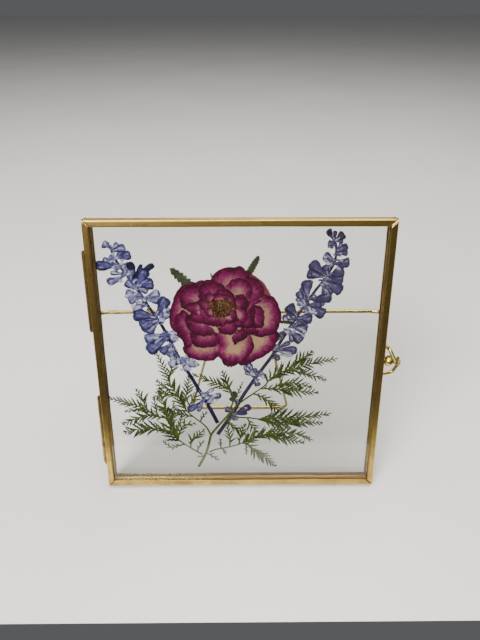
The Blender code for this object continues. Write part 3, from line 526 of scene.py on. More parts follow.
smears, ins, outs = group("faint_smears", (("Smear", "Float", 0.02),), ("Roughness",))
film = noise(smears, object_place(smears), 40.0)
give(smears, outs, sums(smears, "MULTIPLY", spread(smears, film, 0.55, 0.8), ins["Smear"]))
GLASS = material(
    "clear_glass",
    smears,
    values={
        "Base Color": (0.98, 0.99, 0.985, 1),
        "Transmission Weight": 1.0,
        "IOR": 1.45,
        "Specular IOR Level": 0.3,
    },
    outputs=("Roughness",),
)
for half in ("front", "rear"):
    pane = frame["nodes"][f"{half}_glass"]
    pane.data.materials.clear()
    pane.data.materials.append(GLASS)

# ------------------------------------------------------------------ hinges
# Two butt hinges of rolled brass sheet, each with a brass pin. Their leaves are soldered to the
# channels' outer walls.

HINGE_BRASS = plain_brass("antique_brass_hinge", (0.40, 0.28, 0.095), (0.15, 0.10, 0.034), 0.005)
for name, node in frame["nodes"].items():
    if "hinge" in name:
        node.data.materials.clear()
        node.data.materials.append(HINGE_BRASS)

# ------------------------------------------------------------------ clasp
# A turned brass ball soldered to the front half, and a bent wire soldered to the rear half that
# springs over it.

WIRE_BRASS = plain_brass("bright_brass_wire", (0.72, 0.56, 0.19), (0.42, 0.32, 0.085), 0.006, 0.1, 0.15)
BALL_RADIUS = 2.9
BALL_ACROSS, BALL_DEPTH, BALL_HEIGHT = 77.8, 2.0, 76.3
CLEARANCE = 0.3
LOOP_RADIUS = 0.95
LOOP_CORNERS = [
    (75.05, 6.3, 82.4),
    (77.4, 6.3, 82.4),
    (77.2, 1.0, 83.2),
    (80.5, -2.3, 76.3),
    (83.2, 4.6, 77.0),
    (84.6, 5.4, 74.0),
    (81.4, 6.3, 68.0),
    (77.6, 6.3, 67.0),
    (75.05, 6.3, 67.0),
]


def ball_bead():
    """A sphere as circles round its axis, from the flat on the wall to its outer pole."""
    flat = (SIDE / 2 + CLEARANCE - BALL_ACROSS) / BALL_RADIUS
    out = -np.cos(np.linspace(math.acos(-flat), 0.985 * math.pi, 25))[:, None]
    round_it = np.linspace(0, math.tau, 40, endpoint=False)[None, :]
    circle = BALL_RADIUS * np.sqrt(1 - out**2)
    points = (
        BALL_ACROSS + BALL_RADIUS * out + 0 * round_it,
        BALL_DEPTH + circle * np.cos(round_it),
        BALL_HEIGHT + circle * np.sin(round_it),
    )
    return tubes(np.stack(points, -1)[None])


def bent(corners, radius, spacing):
    """A path with straight runs between corners, each corner rounded by a parabola."""
    corners = np.asarray(corners, float)
    t = np.linspace(0, 1, 9)[None, :, None]
    before = corners[1:-1] + radius * unit(corners[:-2] - corners[1:-1])
    after = corners[1:-1] + radius * unit(corners[2:] - corners[1:-1])
    arcs = (1 - t) ** 2 * before[:, None] + 2 * t * (1 - t) * corners[1:-1, None] + t**2 * after[:, None]
    return even(np.concatenate([corners[:1], arcs.reshape(-1, 3), corners[-1:]]), spacing)


def painted_top_light_and_under_shade(rings):
    """The painted light at each point of a tube's rings: a painted highlight up to 0.4 on top, and painted
    shade down to -0.6 underneath.
    """
    rise = unit(rings - rings.mean(-2, keepdims=True))[..., 2]
    return 0.4 * np.clip(3 * rise - 1.5, 0, 1) - 0.6 * np.clip(0.2 - 1.4 * rise, 0, 1)


def wire(name, rings, painted_light, body, node):
    """A bright brass wire from its rings, with painted light at each point."""
    dress(make_mesh(name, tubes(rings[None]), {"painted_light": painted_light}), body, "brass", WIRE_BRASS, node)


dress(make_mesh("clasp_ball_bead", ball_bead()), "front_frame", "brass", WIRE_BRASS, "clasp_ball")
loop = bent(LOOP_CORNERS, 1.0, 0.2)
loop_rings = round_tube(loop, domed(loop, LOOP_RADIUS, 0.4), 18, (0.1, 0.3, 1))
wire("clasp_wire", loop_rings, painted_top_light_and_under_shade(loop_rings), "rear_frame", "clasp_loop")

# ------------------------------------------------------------------ crossbar
# A straight brass wire across the back. Its ends are bent in to the frame and soldered there,
# and a lump of solder sits on it near its left end.

BAR_RADIUS = 0.9
BAR_END, BAR_END_DEPTH = 73.4, DEPTH + CLEARANCE + BAR_RADIUS
# The solder on it as (way along, width, height): at both ends, and a double lump near the left
BAR_LUMPS = ((1.2, 0.9, 0.2), (8.4, 0.6, 0.25), (9.9, 0.6, 0.3), (145.6, 0.9, 0.2))


def swollen(path, radius, lumps):
    """The radius along a path with a smooth swelling of each (place, width, height) in lumps."""
    run = run_of(path)
    return radius + sum(high * np.exp(-(((run - spot) / wide) ** 2)) for spot, wide, high in lumps)


half_bar = np.array([(BAR_END, BAR_END_DEPTH), (71.0, BAR_END_DEPTH), (68.8, BAR_DEPTH)])
half_bar = np.insert(half_bar, 2, BAR_HEIGHT, axis=1)
bar = bent(np.concatenate([half_bar * [-1, 1, 1], half_bar[::-1]]), 0.8, 0.3)
bar_rings = round_tube(bar, domed(bar, swollen(bar, BAR_RADIUS, BAR_LUMPS), 0.5), 20, (0, 0, 1))
# Painted shade over the last few millimetres at each end of the bar, where it bends in to the frame;
# elsewhere a painted highlight on top and painted shade underneath
bar_end_shade = np.clip(1.8 - 0.6 * (BAR_END - np.abs(bar[:, :1])), 0, 1)
bar_painted_light = (1 - bar_end_shade) * painted_top_light_and_under_shade(bar_rings) - 0.9 * bar_end_shade
wire("crossbar_wire", bar_rings, bar_painted_light, "rear_frame", "crossbar")

# ------------------------------------------------------------------ stand
# One brass wire bent into a trapezoid, with an open eye at each end that hooks over the crossbar
# and turns on it.

STAND_RADIUS = 0.8
EYE, EYE_TURN = BAR_RADIUS + CLEARANCE + STAND_RADIUS, 262
LEG = 100.0
EYE_ACROSS, FOOT_ACROSS = 11.5, 32.0
axis_height = 1000 * STAND_AXIS[2] - STAND_RADIUS
opened = LEAN + (math.acos(axis_height / math.hypot(LEG, EYE)) - math.atan2(EYE, LEG))
down = np.array([0, math.sin(opened), -math.cos(opened)])
behind = np.array([0, math.cos(opened), math.sin(opened)])
swing = np.radians(np.linspace(EYE_TURN, 0, 24, endpoint=False))[:, None]
eye = EYE * (np.cos(swing) * behind - np.sin(swing) * down) + [-EYE_ACROSS, 0, 0]
leg_corners = [
    [across, 0, 0] + length * down + EYE * behind
    for across, length in ((-EYE_ACROSS, 0), (-FOOT_ACROSS, LEG), (FOOT_ACROSS, LEG), (EYE_ACROSS, 0))
]
legs = bent(leg_corners, 5.5, 0.6)
stand_path = np.concatenate([eye, legs, (eye * [-1, 1, 1])[::-1]]) + [0, BAR_DEPTH, BAR_HEIGHT]
stand_path = even(stand_path, 0.35)
stand_rings = round_tube(stand_path, domed(stand_path, STAND_RADIUS, 0.6), 20, down + 0.3 * behind)
wire("stand_wire", stand_rings, painted_top_light_and_under_shade(stand_rings), "stand", "stand")

# ------------------------------------------------------------------ rose petals
# Dried garden-rose petals, pressed flat: burgundy rims, fading through pink to a cream base, with
# fine veins that fan out from the base.

PETAL_FRONT, PETAL_PITCH = 1.96, 0.29
PETAL_THICKNESS = 0.09
OUTLINE_POINTS = 120
ROSE_HEART = np.array([-8.5, 103.5])
# From the burgundy rim to the base, of a petal that stays pink and of one that turns cream
PINKS = (
    (0.0, (0.050, 0.0003, 0.013)),
    (0.22, (0.090, 0.0005, 0.028)),
    (0.46, (0.180, 0.001, 0.068)),
    (0.72, (0.245, 0.018, 0.100)),
    (1.0, (0.340, 0.095, 0.145)),
)
CREAMS = (
    (0.0, (0.055, 0.0003, 0.015)),
    (0.20, (0.105, 0.0005, 0.036)),
    (0.40, (0.240, 0.004, 0.092)),
    (0.58, (0.290, 0.055, 0.125)),
    (0.78, (0.390, 0.150, 0.140)),
    (1.0, (0.500, 0.310, 0.170)),
)


def swayed(tree, base, value, share):
    """The base plus a share of how far the value is from one half."""
    return sums(tree, "MULTIPLY_ADD", sums(tree, "SUBTRACT", value, 0.5), share, base)


petal, ins, outs = group("dried_petal", (("Vein depth", "Float", 0.5), ("Redness", "Float", 0.0)))
rim, fan, reach, tone = (attribute(petal, name) for name in ("rim", "fan", "reach", "tone"))
veins = noise(petal, scaled(petal, (fan, 13.0), (reach, 0.2), (tone, 7.0)), 1.0, 5.0, 0.65)
blotch = noise(petal, object_place(petal), 420.0, 4.0)
grain = noise(petal, object_place(petal), 1500.0, 3.0)
depth_in = swayed(petal, swayed(petal, swayed(petal, rim, veins, 0.70), blotch, 0.65), grain, 0.6)
petal_colour = mixed(petal, tone, ramp(petal, depth_in, PINKS), ramp(petal, depth_in, CREAMS))
give(
    petal,
    outs,
    mixed(petal, ins["Redness"], petal_colour, (0.36, 0.06, 0.09, 1)),
    sums(petal, "MULTIPLY_ADD", veins, 0.25, 0.5),
    bump(petal, blotch, 0.5, 0.0004, bump(petal, veins, ins["Vein depth"], 0.0005)),
)
PETAL = material("dried_petal", petal, values={"Specular IOR Level": 0.12})
RED_PETAL = material("dried_red_petal", petal, {"Redness": 0.6}, {"Specular IOR Level": 0.12})

# Each petal: its layer, the width of its dark rim, how creamy its base is, and the points of its
# outline, across and height in turn
PETALS = {
    "notched": [0, 7.8, 0.08, -4.3, 89.2, -3.2, 86, -0.8, 87.6, 2, 89, 3.6, 90.3, 2.5, 92.8, -1.5, 93,
        -3.8, 91],
    "inner_top": [0, 4.4, 0.15, -14.2, 109, -13.5, 113, -10, 115.8, -6, 115.3, -3, 112.5, -4, 111,
        -8, 112.5, -12, 111],
    "inner_right": [0, 6.8, 0, -2.5, 112, 0, 113, 2.5, 112, 3.8, 108.5, 2.9, 104.8, 1.6, 101.2, -0.6, 99.6,
        -1.5, 103, -1, 108],
    "left_curl": [0, 5.7, 0.08, -27, 101.5, -23, 103.5, -19, 101, -14, 98.2, -10.8, 96.2, -13.5, 95.8,
        -19, 97.5, -24, 98.5],
    "inner_bottom": [1, 6, 0.08, -12, 94.5, -11, 92.5, -7, 91.3, -3.5, 91.8, -1.2, 95, -1.5, 98.5, -5, 97.5,
        -8, 96.8],
    "inner_left": [1, 6, 0.11, -23.5, 108.3, -20, 109.8, -17, 107, -15, 102, -11, 99, -11.5, 96, -17, 97,
        -21.5, 100.5, -24, 104.5],
    "top_round": [1, 5.6, 0.55, -7, 115.5, -6, 118.8, -3, 120.8, 1, 121, 4.2, 119, 6, 115.5, 5.2, 111.5,
        2.5, 110.5, -3, 111.5],
    "low_right_curl": [2, 5.2, 0, -1.5, 95, 1, 94.3, 6, 94.8, 9.5, 93.2, 8, 92, 3.5, 91.3, -0.5, 92.3],
    "mid_left": [2, 7.3, 0.19, -27.8, 101.8, -27.5, 96, -25, 92.5, -20.5, 90.6, -16, 91, -13.2, 93,
        -11.8, 95.5, -17, 97, -23, 100],
    "upper_mid": [2, 7, 0.22, -20.5, 116.5, -17, 118.8, -13, 119.2, -9, 117.8, -7, 115, -9, 111, -15, 110,
        -20, 109],
    "top_right": [2, 7.3, 0.26, 2.5, 121.2, 6.5, 121.3, 10, 118.8, 11.7, 115, 11, 111.6, 7.5, 109.3,
        4.3, 107.5, 4.5, 112, 6, 116],
    "inner_fold": [3, 7.8, 0, 3.5, 103.5, 6, 106.2, 7.5, 104.5, 7.2, 99, 6.3, 95, 1, 94.6, 0, 97.5,
        3, 99.5],
    "low_left": [3, 7, 0.22, -25.2, 92.5, -25.3, 87.5, -23, 84.4, -18, 84, -13, 85, -10.6, 87.6, -13, 90.2,
        -16.5, 91.8],
    "upper_left": [3, 7, 0.22, -30, 113.5, -27, 116.8, -23, 117.8, -20.5, 116.5, -20, 111, -21, 108,
        -25, 106, -28.5, 105, -30.5, 109],
    "right_fold": [4, 6, 0.08, 2.5, 109, 7, 107, 10, 106.2, 11.9, 104, 12.1, 99, 11.5, 95.2, 7.5, 94.5,
        1.5, 96, -1, 100, -0.5, 105],
    "bottom_centre": [4, 6, 1, -13.8, 91.5, -10.5, 84, -11.2, 79, -8.5, 76.2, -4, 75.2, 1, 75.2, 3.8, 78.5,
        6, 81.5, 7, 85, 5.5, 90, 1.5, 94, -6, 97, -12.5, 96.5],
    "left_second": [4, 7.3, 0.34, -28, 104.2, -32, 102.3, -34, 98.5, -33, 94, -30.8, 90, -29.6, 85.8,
        -27.8, 83.2, -25.4, 86, -25, 90, -25, 98],
    "back_upper_left": [4, 6.8, 0.22, -24.5, 117.8, -20, 119.8, -15, 120.2, -12, 118.5, -12, 114, -18, 112,
        -24, 114],
    "right_large": [5, 6.9, 0.65, 9.5, 111.3, 13, 112.2, 17, 110.8, 19.5, 106.5, 21, 101, 20, 96, 18, 92,
        13.5, 90, 7, 90, 4, 94, 3, 100, 3, 107],
    "bottom_left": [5, 6.3, 0.65, -27.5, 86.5, -30, 84, -29, 80.5, -25.5, 77.5, -20, 76.2, -14.5, 76.5,
        -11.4, 79, -9.8, 84, -9.5, 90, -20, 92],
    "left_outer": [5, 6.3, 0.8, -24, 117.3, -29, 117.2, -32.5, 113, -34.8, 107, -36.2, 101, -36, 96,
        -33.5, 92.5, -30, 88, -26, 92, -23, 104],
    "bottom_right": [6, 6.9, 1, 18.8, 93, 19.4, 88, 17.5, 83, 13.5, 79.3, 8.5, 76.6, 3.5, 74, -0.5, 73.6,
        -2, 77, 0, 85, 4, 92, 9, 93],
    "back_upper_right": [6, 6.5, 0.22, 4.5, 122.5, 8.5, 121, 12, 118, 15, 112.5, 14, 109, 8, 109, 5, 114],
    "back_top": [7, 7.3, 0.34, -17, 117, -14.4, 121.2, -11.8, 124.2, -8, 126.2, -3.5, 126.3, 0, 127,
        3.5, 124.5, 5.5, 121.5, 3, 114, -6, 112, -15, 113],
    "back_bottom": [7, 7.8, 0.08, -10, 76.5, -8.5, 73.5, -6, 72.3, -3, 73, -1, 74.8, -2, 80, -8, 81],
}


def curve_through(a, b, c, d, count):
    """Catmull-Rom curves from b to c, where a comes before and d after: count points of each.

    With t from 0 to 1, each is a cubic in t that leaves b along c - a and reaches c along d - b.
    """
    t = np.linspace(0, 1, count, endpoint=False)[None, :, None]
    curve = 0.5 * (2 * b + (c - a) * t + (2 * a - 5 * b + 4 * c - d) * t**2 + (3 * b - a - 3 * c + d) * t**3)
    return curve.reshape(-1, 2)


def closed_curve(points, count):
    """A closed curve through the points, at even steps along it, anticlockwise."""
    points = np.reshape(points, (-1, 2))
    curve = curve_through(*(np.roll(points, shift, axis=0)[:, None] for shift in (1, 0, -1, -2)), 16)
    closed = np.concatenate([curve, curve[:1]])
    run = run_of(closed)
    steps = np.linspace(0, run[-1], count, endpoint=False)
    line = np.stack([np.interp(steps, run, closed[:, i]) for i in range(2)], -1)
    x, z = line[:, 0], line[:, 1]
    return line if np.sum(x * np.roll(z, -1) - z * np.roll(x, -1)) > 0 else line[::-1]


def flat_piece(outline, front, thickness, relief, rings=15):
    """A thin closed sheet. Each point is the middle plus a share of the way to the outline.

    The front and back follow the same relief, and draw together towards the outline. Returns the
    points, the faces and the flat (across, height) points.
    """
    count = len(outline)
    middle = outline.mean(0)
    share = np.linspace(0.03, 1, rings) ** 0.85
    flat = middle + share[:, None, None] * (outline - middle)[None]
    thin = thickness * np.sqrt(np.clip(1 - share**14, 0.0, 1))[:, None]
    centre = front + relief(flat) + thickness / 2
    back = np.stack([flat[..., 0], centre + thin / 2, flat[..., 1]], -1)
    face = np.stack([flat[..., 0], centre - thin / 2, flat[..., 1]], -1)
    layers = np.concatenate([back, face[-2::-1]])
    last = (len(layers) - 1) * count
    caps = np.stack([np.arange(count)[::-1], last + np.arange(count)])
    faces = [grid_quads(len(layers), count), caps]
    return (layers.reshape(-1, 3), faces), np.concatenate([flat, flat[-2::-1]]).reshape(-1, 2)


def ripple(seed, size, wave):
    """A gentle unevenness: the sum of five crossing sine waves of about the given size and wave."""
    rolls = np.random.default_rng(seed)
    ways = rolls.uniform(0, math.tau, 5)
    phases = rolls.uniform(0, math.tau, 5)
    lengths = wave * rolls.uniform(0.6, 1.7, 5)

    def height(points):
        """The sum at flat points."""
        across = points[..., 0, None] * np.cos(ways) + points[..., 1, None] * np.sin(ways)
        return size / 3 * np.sin(math.tau * across / lengths + phases).sum(-1)

    return height


def petal_sheet(outline, front, seed, rim_width, tone, crinkle=0.15, relief=0.05):
    """One petal and its measures for the petal material.

    The edge is crinkled by random waves, of which those near 12 to a turn are kept. rim is the
    distance to the nearest edge that faces away from the rose's heart; fan and reach are the
    angle and distance from a point beyond the petal's inner end.
    """
    edge = closed_curve(outline, OUTLINE_POINTS)
    tangent = unit(np.roll(edge, -1, axis=0) - np.roll(edge, 1, axis=0))
    outward = np.stack([tangent[:, 1], -tangent[:, 0]], -1)
    waves = np.fft.rfft(np.random.default_rng(seed).normal(size=OUTLINE_POINTS))
    kept = np.exp(-(((np.arange(len(waves)) - 12) / 10.0) ** 2))
    uneven = np.fft.irfft(waves * kept, OUTLINE_POINTS)
    edge = edge + crinkle * uneven[:, None] / uneven.std() * outward
    shape, flat = flat_piece(edge, front, PETAL_THICKNESS, ripple(seed, relief, 5.0))
    middle = edge.mean(0)
    away = unit(middle - ROSE_HEART)
    inner_edge = 6.0 * np.clip(0.15 - outward @ away, 0, 1)
    gaps = np.linalg.norm(flat[:, None] - edge[None], axis=-1) + inner_edge[None]
    spokes = flat - (middle - away * (0.75 * np.ptp(edge @ away) + 2.0))
    measures = {
        "rim": gaps.min(1) / rim_width,
        "fan": np.arctan2(spokes @ [-away[1], away[0]], spokes @ away) + 1.7 * seed,
        "reach": np.linalg.norm(spokes, axis=1),
        "tone": np.full(len(flat), tone, float),
    }
    return shape, measures


for seed, (name, (layer, rim_width, tone, *outline)) in enumerate(PETALS.items()):
    shape, measures = petal_sheet(outline, PETAL_FRONT + PETAL_PITCH * layer, seed, rim_width, tone)
    finish = RED_PETAL if name == "back_upper_right" else PETAL
    dress(make_mesh(f"rose_petal_{name}", shape, measures), "rear_frame", "petal", finish, f"petal_{name}")

# ------------------------------------------------------------------ rose's inner folds
# The small curled petals round the heart, dried on top of the larger ones, and three more that show
# through the gaps between them.

# Each fold: how creamy it is, the width of its dark rim, and its outline as for the petals
FOLDS = [
    [0, 3.2, -27.5, 105.5, -26.5, 108.2, -23.5, 108.8, -20.5, 107, -21, 104.5, -24, 103.2],
    [0.7, 1.6, -24.4, 104.4, -22.5, 105.8, -20.6, 104.2, -21, 102.2, -23, 102.4],
    [0.1, 3, -21, 108, -19.5, 110.6, -17.2, 109, -16.6, 106, -18, 104.4, -20, 105.5],
    [0.3, 2.2, -18.5, 104.5, -16.5, 106, -14.5, 104.6, -14.2, 101.8, -16.2, 101],
    [0.3, 2.4, -17.5, 112.8, -15, 114.2, -13.4, 111.8, -15, 109.8, -17.5, 110.2],
    [0.4, 2, -14, 111.2, -12, 113, -8.6, 113.4, -6.2, 112.4, -8.5, 110.9, -12, 110.3],
    [0.2, 2.4, -7.2, 112, -4.4, 112.4, -2.6, 110.4, -3.8, 108.6, -6, 110],
    [0, 3.4, -2, 109.5, 0.6, 111.6, 2.6, 109, 2.4, 105.6, 0.4, 104.6, -1.6, 106.6],
    [0.3, 2.4, -1.8, 104.8, 0.2, 106, 2.8, 104.8, 3.4, 101, 2.2, 98.4, -0.4, 99.6, -1.6, 102],
    [0, 3, -4.6, 103.6, -2.2, 104.4, -1.2, 101.6, -2.6, 99.6, -4.8, 100.8],
    [0.4, 1.8, -7.8, 100.8, -5, 101.8, -3, 100.2, -4, 98.2, -7, 98.4],
    [0.3, 2.2, -10.4, 99, -8.6, 100.2, -7.2, 98, -8.6, 96, -10.2, 96.8],
    [0, 3, -3, 98, 0.4, 99.2, 1.6, 97.4, -0.4, 95.4, -3.2, 96],
    [0, 3, 3.4, 99.4, 5.4, 101.6, 6.4, 98.6, 4.6, 95.6, 1.2, 95.4, 1.4, 97.2],
    [1, 0.7, -1.4, 95.6, -0.2, 96.4, 0.8, 95, 0, 93.6, -1.2, 94],
    [1, 2.2, 3.9, 105.4, 5.2, 108.2, 9, 110.2, 10.6, 109.4, 7, 107.4, 5, 104.4],
    [1, 0.6, -17.4, 96.6, -14, 96.1, -11.8, 95.4, -11.2, 92.2, -13.2, 92.6, -14.5, 94.8],
]
# The folds in the gaps
DEEP_FOLDS = [
    [0.3, 2, 0.6, 108.4, 1.4, 112.4, 4.6, 113.4, 6.4, 110.8, 5, 107.8],
    [0.9, 1.2, -0.8, 92.6, -0.2, 96.2, 3.4, 97, 5, 94.4, 2.8, 92],
    [0.2, 2.6, -13.4, 79.4, -13, 83, -10, 84, -8.6, 81, -10.4, 78],
]
FOLD_FRONT, FOLD_PITCH = 1.79, 0.035
DEEP_FRONT = PETAL_FRONT + 7.5 * PETAL_PITCH
CRINKLE, RELIEF = 0.1, 0.015


def joined(*parts):
    """Several (points, faces) as one."""
    starts = np.cumsum([0] + [len(points) for points, _ in parts])
    faces = [block + start for start, (_, own) in zip(starts, parts) for block in own]
    return np.concatenate([points for points, _ in parts]), faces


folds = []
for number, (tone, rim, *outline) in enumerate(FOLDS):
    front = FOLD_FRONT + FOLD_PITCH * (number % 4)
    folds.append(petal_sheet(outline, front, 60 + number, 1.3 * rim, tone, CRINKLE, RELIEF))
for number, (tone, rim, *outline) in enumerate(DEEP_FOLDS):
    folds.append(petal_sheet(outline, DEEP_FRONT, 90 + number, rim, tone, CRINKLE, RELIEF))
shapes, measures = zip(*folds)
measures = {name: np.concatenate([own[name] for own in measures]) for name in measures[0]}
inner_folds = make_mesh("rose_inner_folds", joined(*shapes), measures)
dress(inner_folds, "rear_frame", "petal", PETAL)

# ------------------------------------------------------------------ rose heart
# The rose's golden brown middle: dried stamens and small torn petals, pressed into one crumpled
# mass.

GOLDEN_BROWNS = (
    (0.22, (0.030, 0.002, 0.006)),
    (0.38, (0.090, 0.022, 0.006)),
    (0.54, (0.115, 0.052, 0.012)),
    (0.66, (0.185, 0.098, 0.026)),
    (0.80, (0.360, 0.210, 0.085)),
    (0.88, (0.260, 0.012, 0.085)),
)
stamens, ins, outs = group("dried_stamens", (("Crumple", "Float", 0.8),))
lump = noise(stamens, object_place(stamens), 480.0, 5.0, 0.65)
give(
    stamens,
    outs,
    ramp(stamens, sums(stamens, "MULTIPLY_ADD", attribute(stamens, "tone"), 0.42, lump), GOLDEN_BROWNS),
    sums(stamens, "MULTIPLY_ADD", lump, 0.2, 0.6),
    bump(stamens, lump, ins["Crumple"], 0.0008),
)
STAMENS = material("dried_stamens", stamens, values={"Specular IOR Level": 0.12})

HEART = [
    -18.5, 103, -17, 109, -13, 112.5, -7, 113, -2, 111, 1, 107, 0.5, 101.5, -2.5, 97, -8, 95.5, -13, 96.5,
    -17, 99,
]
HEART_FRONT = PETAL_FRONT + 3 * PETAL_PITCH
FLAKES, FLAKE_STATIONS, FLAKE_SIDES = 300, 7, 6
FLAKES_MIDDLE = np.array([-9.2, 104.9])


def flakes(rolls):
    """Small curled slips of stamen in an oval, each a flattened tube bowed along its length.

    Also returns each slip's tone, which rises with the cube of its distance from the middle.
    """
    share = np.sqrt(rolls.uniform(0, 1, FLAKES))[:, None]
    angle = rolls.uniform(0, math.tau, FLAKES)
    oval = np.stack([7.2 * np.cos(angle), 5.4 * np.sin(angle) - 1.8 * np.cos(angle)], -1)
    roots = FLAKES_MIDDLE + share * oval
    turned = rolls.uniform(0, math.tau, FLAKES)
    ways = np.stack([np.cos(turned), np.sin(turned)], -1)
    lengths = rolls.uniform(0.8, 2.4, FLAKES)
    widths = rolls.uniform(0.16, 0.5, FLAKES)
    deep = HEART_FRONT - rolls.uniform(0.12, 0.75, FLAKES)
    station = np.linspace(0, 1, FLAKE_STATIONS)
    ring_angle = np.linspace(0, math.tau, FLAKE_SIDES, endpoint=False)
    swell = np.sin(math.pi * np.clip(station * 0.94 + 0.03, 0, 1)) ** 0.6
    run = lengths[:, None] * station[None]
    bow = rolls.uniform(-1.2, 1.2, FLAKES)[:, None] * run**2 / 3
    side = np.stack([-ways[:, 1], ways[:, 0]], -1)
    spine = roots[:, None] + run[..., None] * ways[:, None] + bow[..., None] * side[:, None]
    half = (widths[:, None] * swell[None])[..., None] * np.cos(ring_angle)
    depth = deep[:, None, None] + 0.1 * np.sin(3 * station)[None, :, None]
    depth = depth - 0.06 * swell[None, :, None] * np.sin(ring_angle)
    x = spine[..., 0, None] + half * side[:, None, None, 0]
    z = spine[..., 1, None] + half * side[:, None, None, 1]
    tones = rolls.uniform(-0.7, 0.6, FLAKES) + 0.75 * share[:, 0] ** 3
    return tubes(np.stack([x, depth, z], -1)), tones


sheet, _ = flat_piece(closed_curve(HEART, OUTLINE_POINTS), HEART_FRONT, 0.1, ripple(91, 0.06, 2.5))
slips, slip_tones = flakes(np.random.default_rng(5))
slip_tones = np.repeat(slip_tones, FLAKE_STATIONS * FLAKE_SIDES)
heart_tone = np.concatenate([np.full(len(sheet[0]), -0.25), slip_tones])
heart = make_mesh("rose_stamens", joined(sheet, slips), {"tone": heart_tone})
dress(heart, "rear_frame", "stamens", STAMENS, "rose_heart")

# ------------------------------------------------------------------ rose calyx
# The green sepals that show past the petals: saw-toothed blades on a small disc behind the bloom,
# dried stiff and a little faded.

leaf, ins, outs = group(
    "dried_leaf",
    (
        ("Fresh", "Color", (0.085, 0.125, 0.010, 1)),
        ("Shaded", "Color", (0.022, 0.036, 0.003, 1)),
        ("Dry", "Color", (0.14, 0.145, 0.030, 1)),
    ),
)
mottle = noise(leaf, object_place(leaf), 620.0, 4.0)
fine = noise(leaf, object_place(leaf), 3500.0, 2.0)
shade = swayed(leaf, attribute(leaf, "tone"), mottle, 1.1)
leaf_colour = mixed(leaf, sums(leaf, "ADD", shade, 0.0, clamp=True), ins["Shaded"], ins["Fresh"])
give(
    leaf,
    outs,
    mixed(leaf, spread(leaf, shade, 0.8, 1.3), leaf_colour, ins["Dry"]),
    sums(leaf, "MULTIPLY_ADD", fine, 0.2, 0.52),
    bump(leaf, fine, 0.4, 0.0002),
)
SEPAL = material(
    "dried_sepal",
    leaf,
    {"Fresh": (0.070, 0.082, 0.030, 1), "Shaded": (0.022, 0.027, 0.011, 1), "Dry": (0.12, 0.12, 0.05, 1)},
    {"Specular IOR Level": 0.15},
)

CALYX_DEPTH = PETAL_FRONT + 8 * PETAL_PITCH
CALYX_MIDDLE = np.array([-8.0, 101.0])


def blade_rings(left, right, spine, depth, thickness):
    """Rings (blade, station, corner, 3) between a left and a right edge, domed to front and back.

    All are (blade, station, 2) arrays but depth, which is one number a blade. Corners run from
    the left edge over the front to the right edge, and back behind.
    """
    halfway = [left * 0.5 + spine * 0.5, spine, right * 0.5 + spine * 0.5]
    flat = np.stack([left, *halfway, right, *halfway[::-1]], 2)
    width = np.linalg.norm(left - right, axis=-1)
    dome = np.array([0.0, -0.9, -1, -0.9, 0.0, 0.9, 1, 0.9]) * thickness / 2
    y = np.asarray(depth)[:, None, None] + dome * np.minimum(1, width / 0.4)[..., None]
    return np.stack([flat[..., 0], y, flat[..., 1]], -1)


def sepal_edges(tip, length, half):
    """The two edges of a blade from the calyx's middle to its tip, cut into forward saw teeth."""
    way = unit(np.array(tip) - CALYX_MIDDLE)
    reach = np.linalg.norm(tip - CALYX_MIDDLE)
    side = np.array([-way[1], way[0]])
    along = np.linspace(0, 1, 150) * reach
    body = np.interp(
        along,
        [0, reach - 1.8 * length, reach - length, reach - 0.5 * length, reach - 0.14 * length, reach],
        [1.6, 0.95 * half, half, 0.9 * half, 0.62 * half, 0.2],
    )
    teeth = [1 - 0.42 * ((along / length * 4.6 + start) % 1.0) ** 1.6 for start in (0.1, 0.6)]
    spine = CALYX_MIDDLE + along[:, None] * way
    return spine + (body * teeth[0])[:, None] * side, spine - (body * teeth[1])[:, None] * side, spine


# Each sepal: its tip, the length that shows past the petals, and its half width
SEPALS = [
    ((-34.8, 125.9), 11.0, 3.0),
    ((9.2, 132.0), 7.5, 2.1),
    ((-14.8, 123.6), 3.0, 0.6),
    ((27.8, 96.7), 6.0, 1.1),
]
edges = [np.stack(lines) for lines in zip(*(sepal_edges(*sepal) for sepal in SEPALS))]
sepals = tubes(blade_rings(*edges, np.full(len(SEPALS), CALYX_DEPTH + 0.09), 0.14))
angle = np.linspace(0, math.tau, 24, endpoint=False)
rim_points = CALYX_MIDDLE + 9.0 * np.stack([np.cos(angle), np.sin(angle)], -1)
disc, _ = flat_piece(closed_curve(rim_points, 96), CALYX_DEPTH + 0.02, 0.14, ripple(32, 0.03, 6.0), 6)
calyx_shape = joined(sepals, disc)
calyx = make_mesh("rose_sepals", calyx_shape, {"tone": np.full(len(calyx_shape[0]), 0.5)})
dress(calyx, "rear_frame", "sepal_green", SEPAL, "rose_calyx")

# ------------------------------------------------------------------ salvias
# Two pressed spikes of blue salvia: an almost black stem, downy pale bud cups, and two-lipped
# florets, violet blue at the edges and paler at the throat.

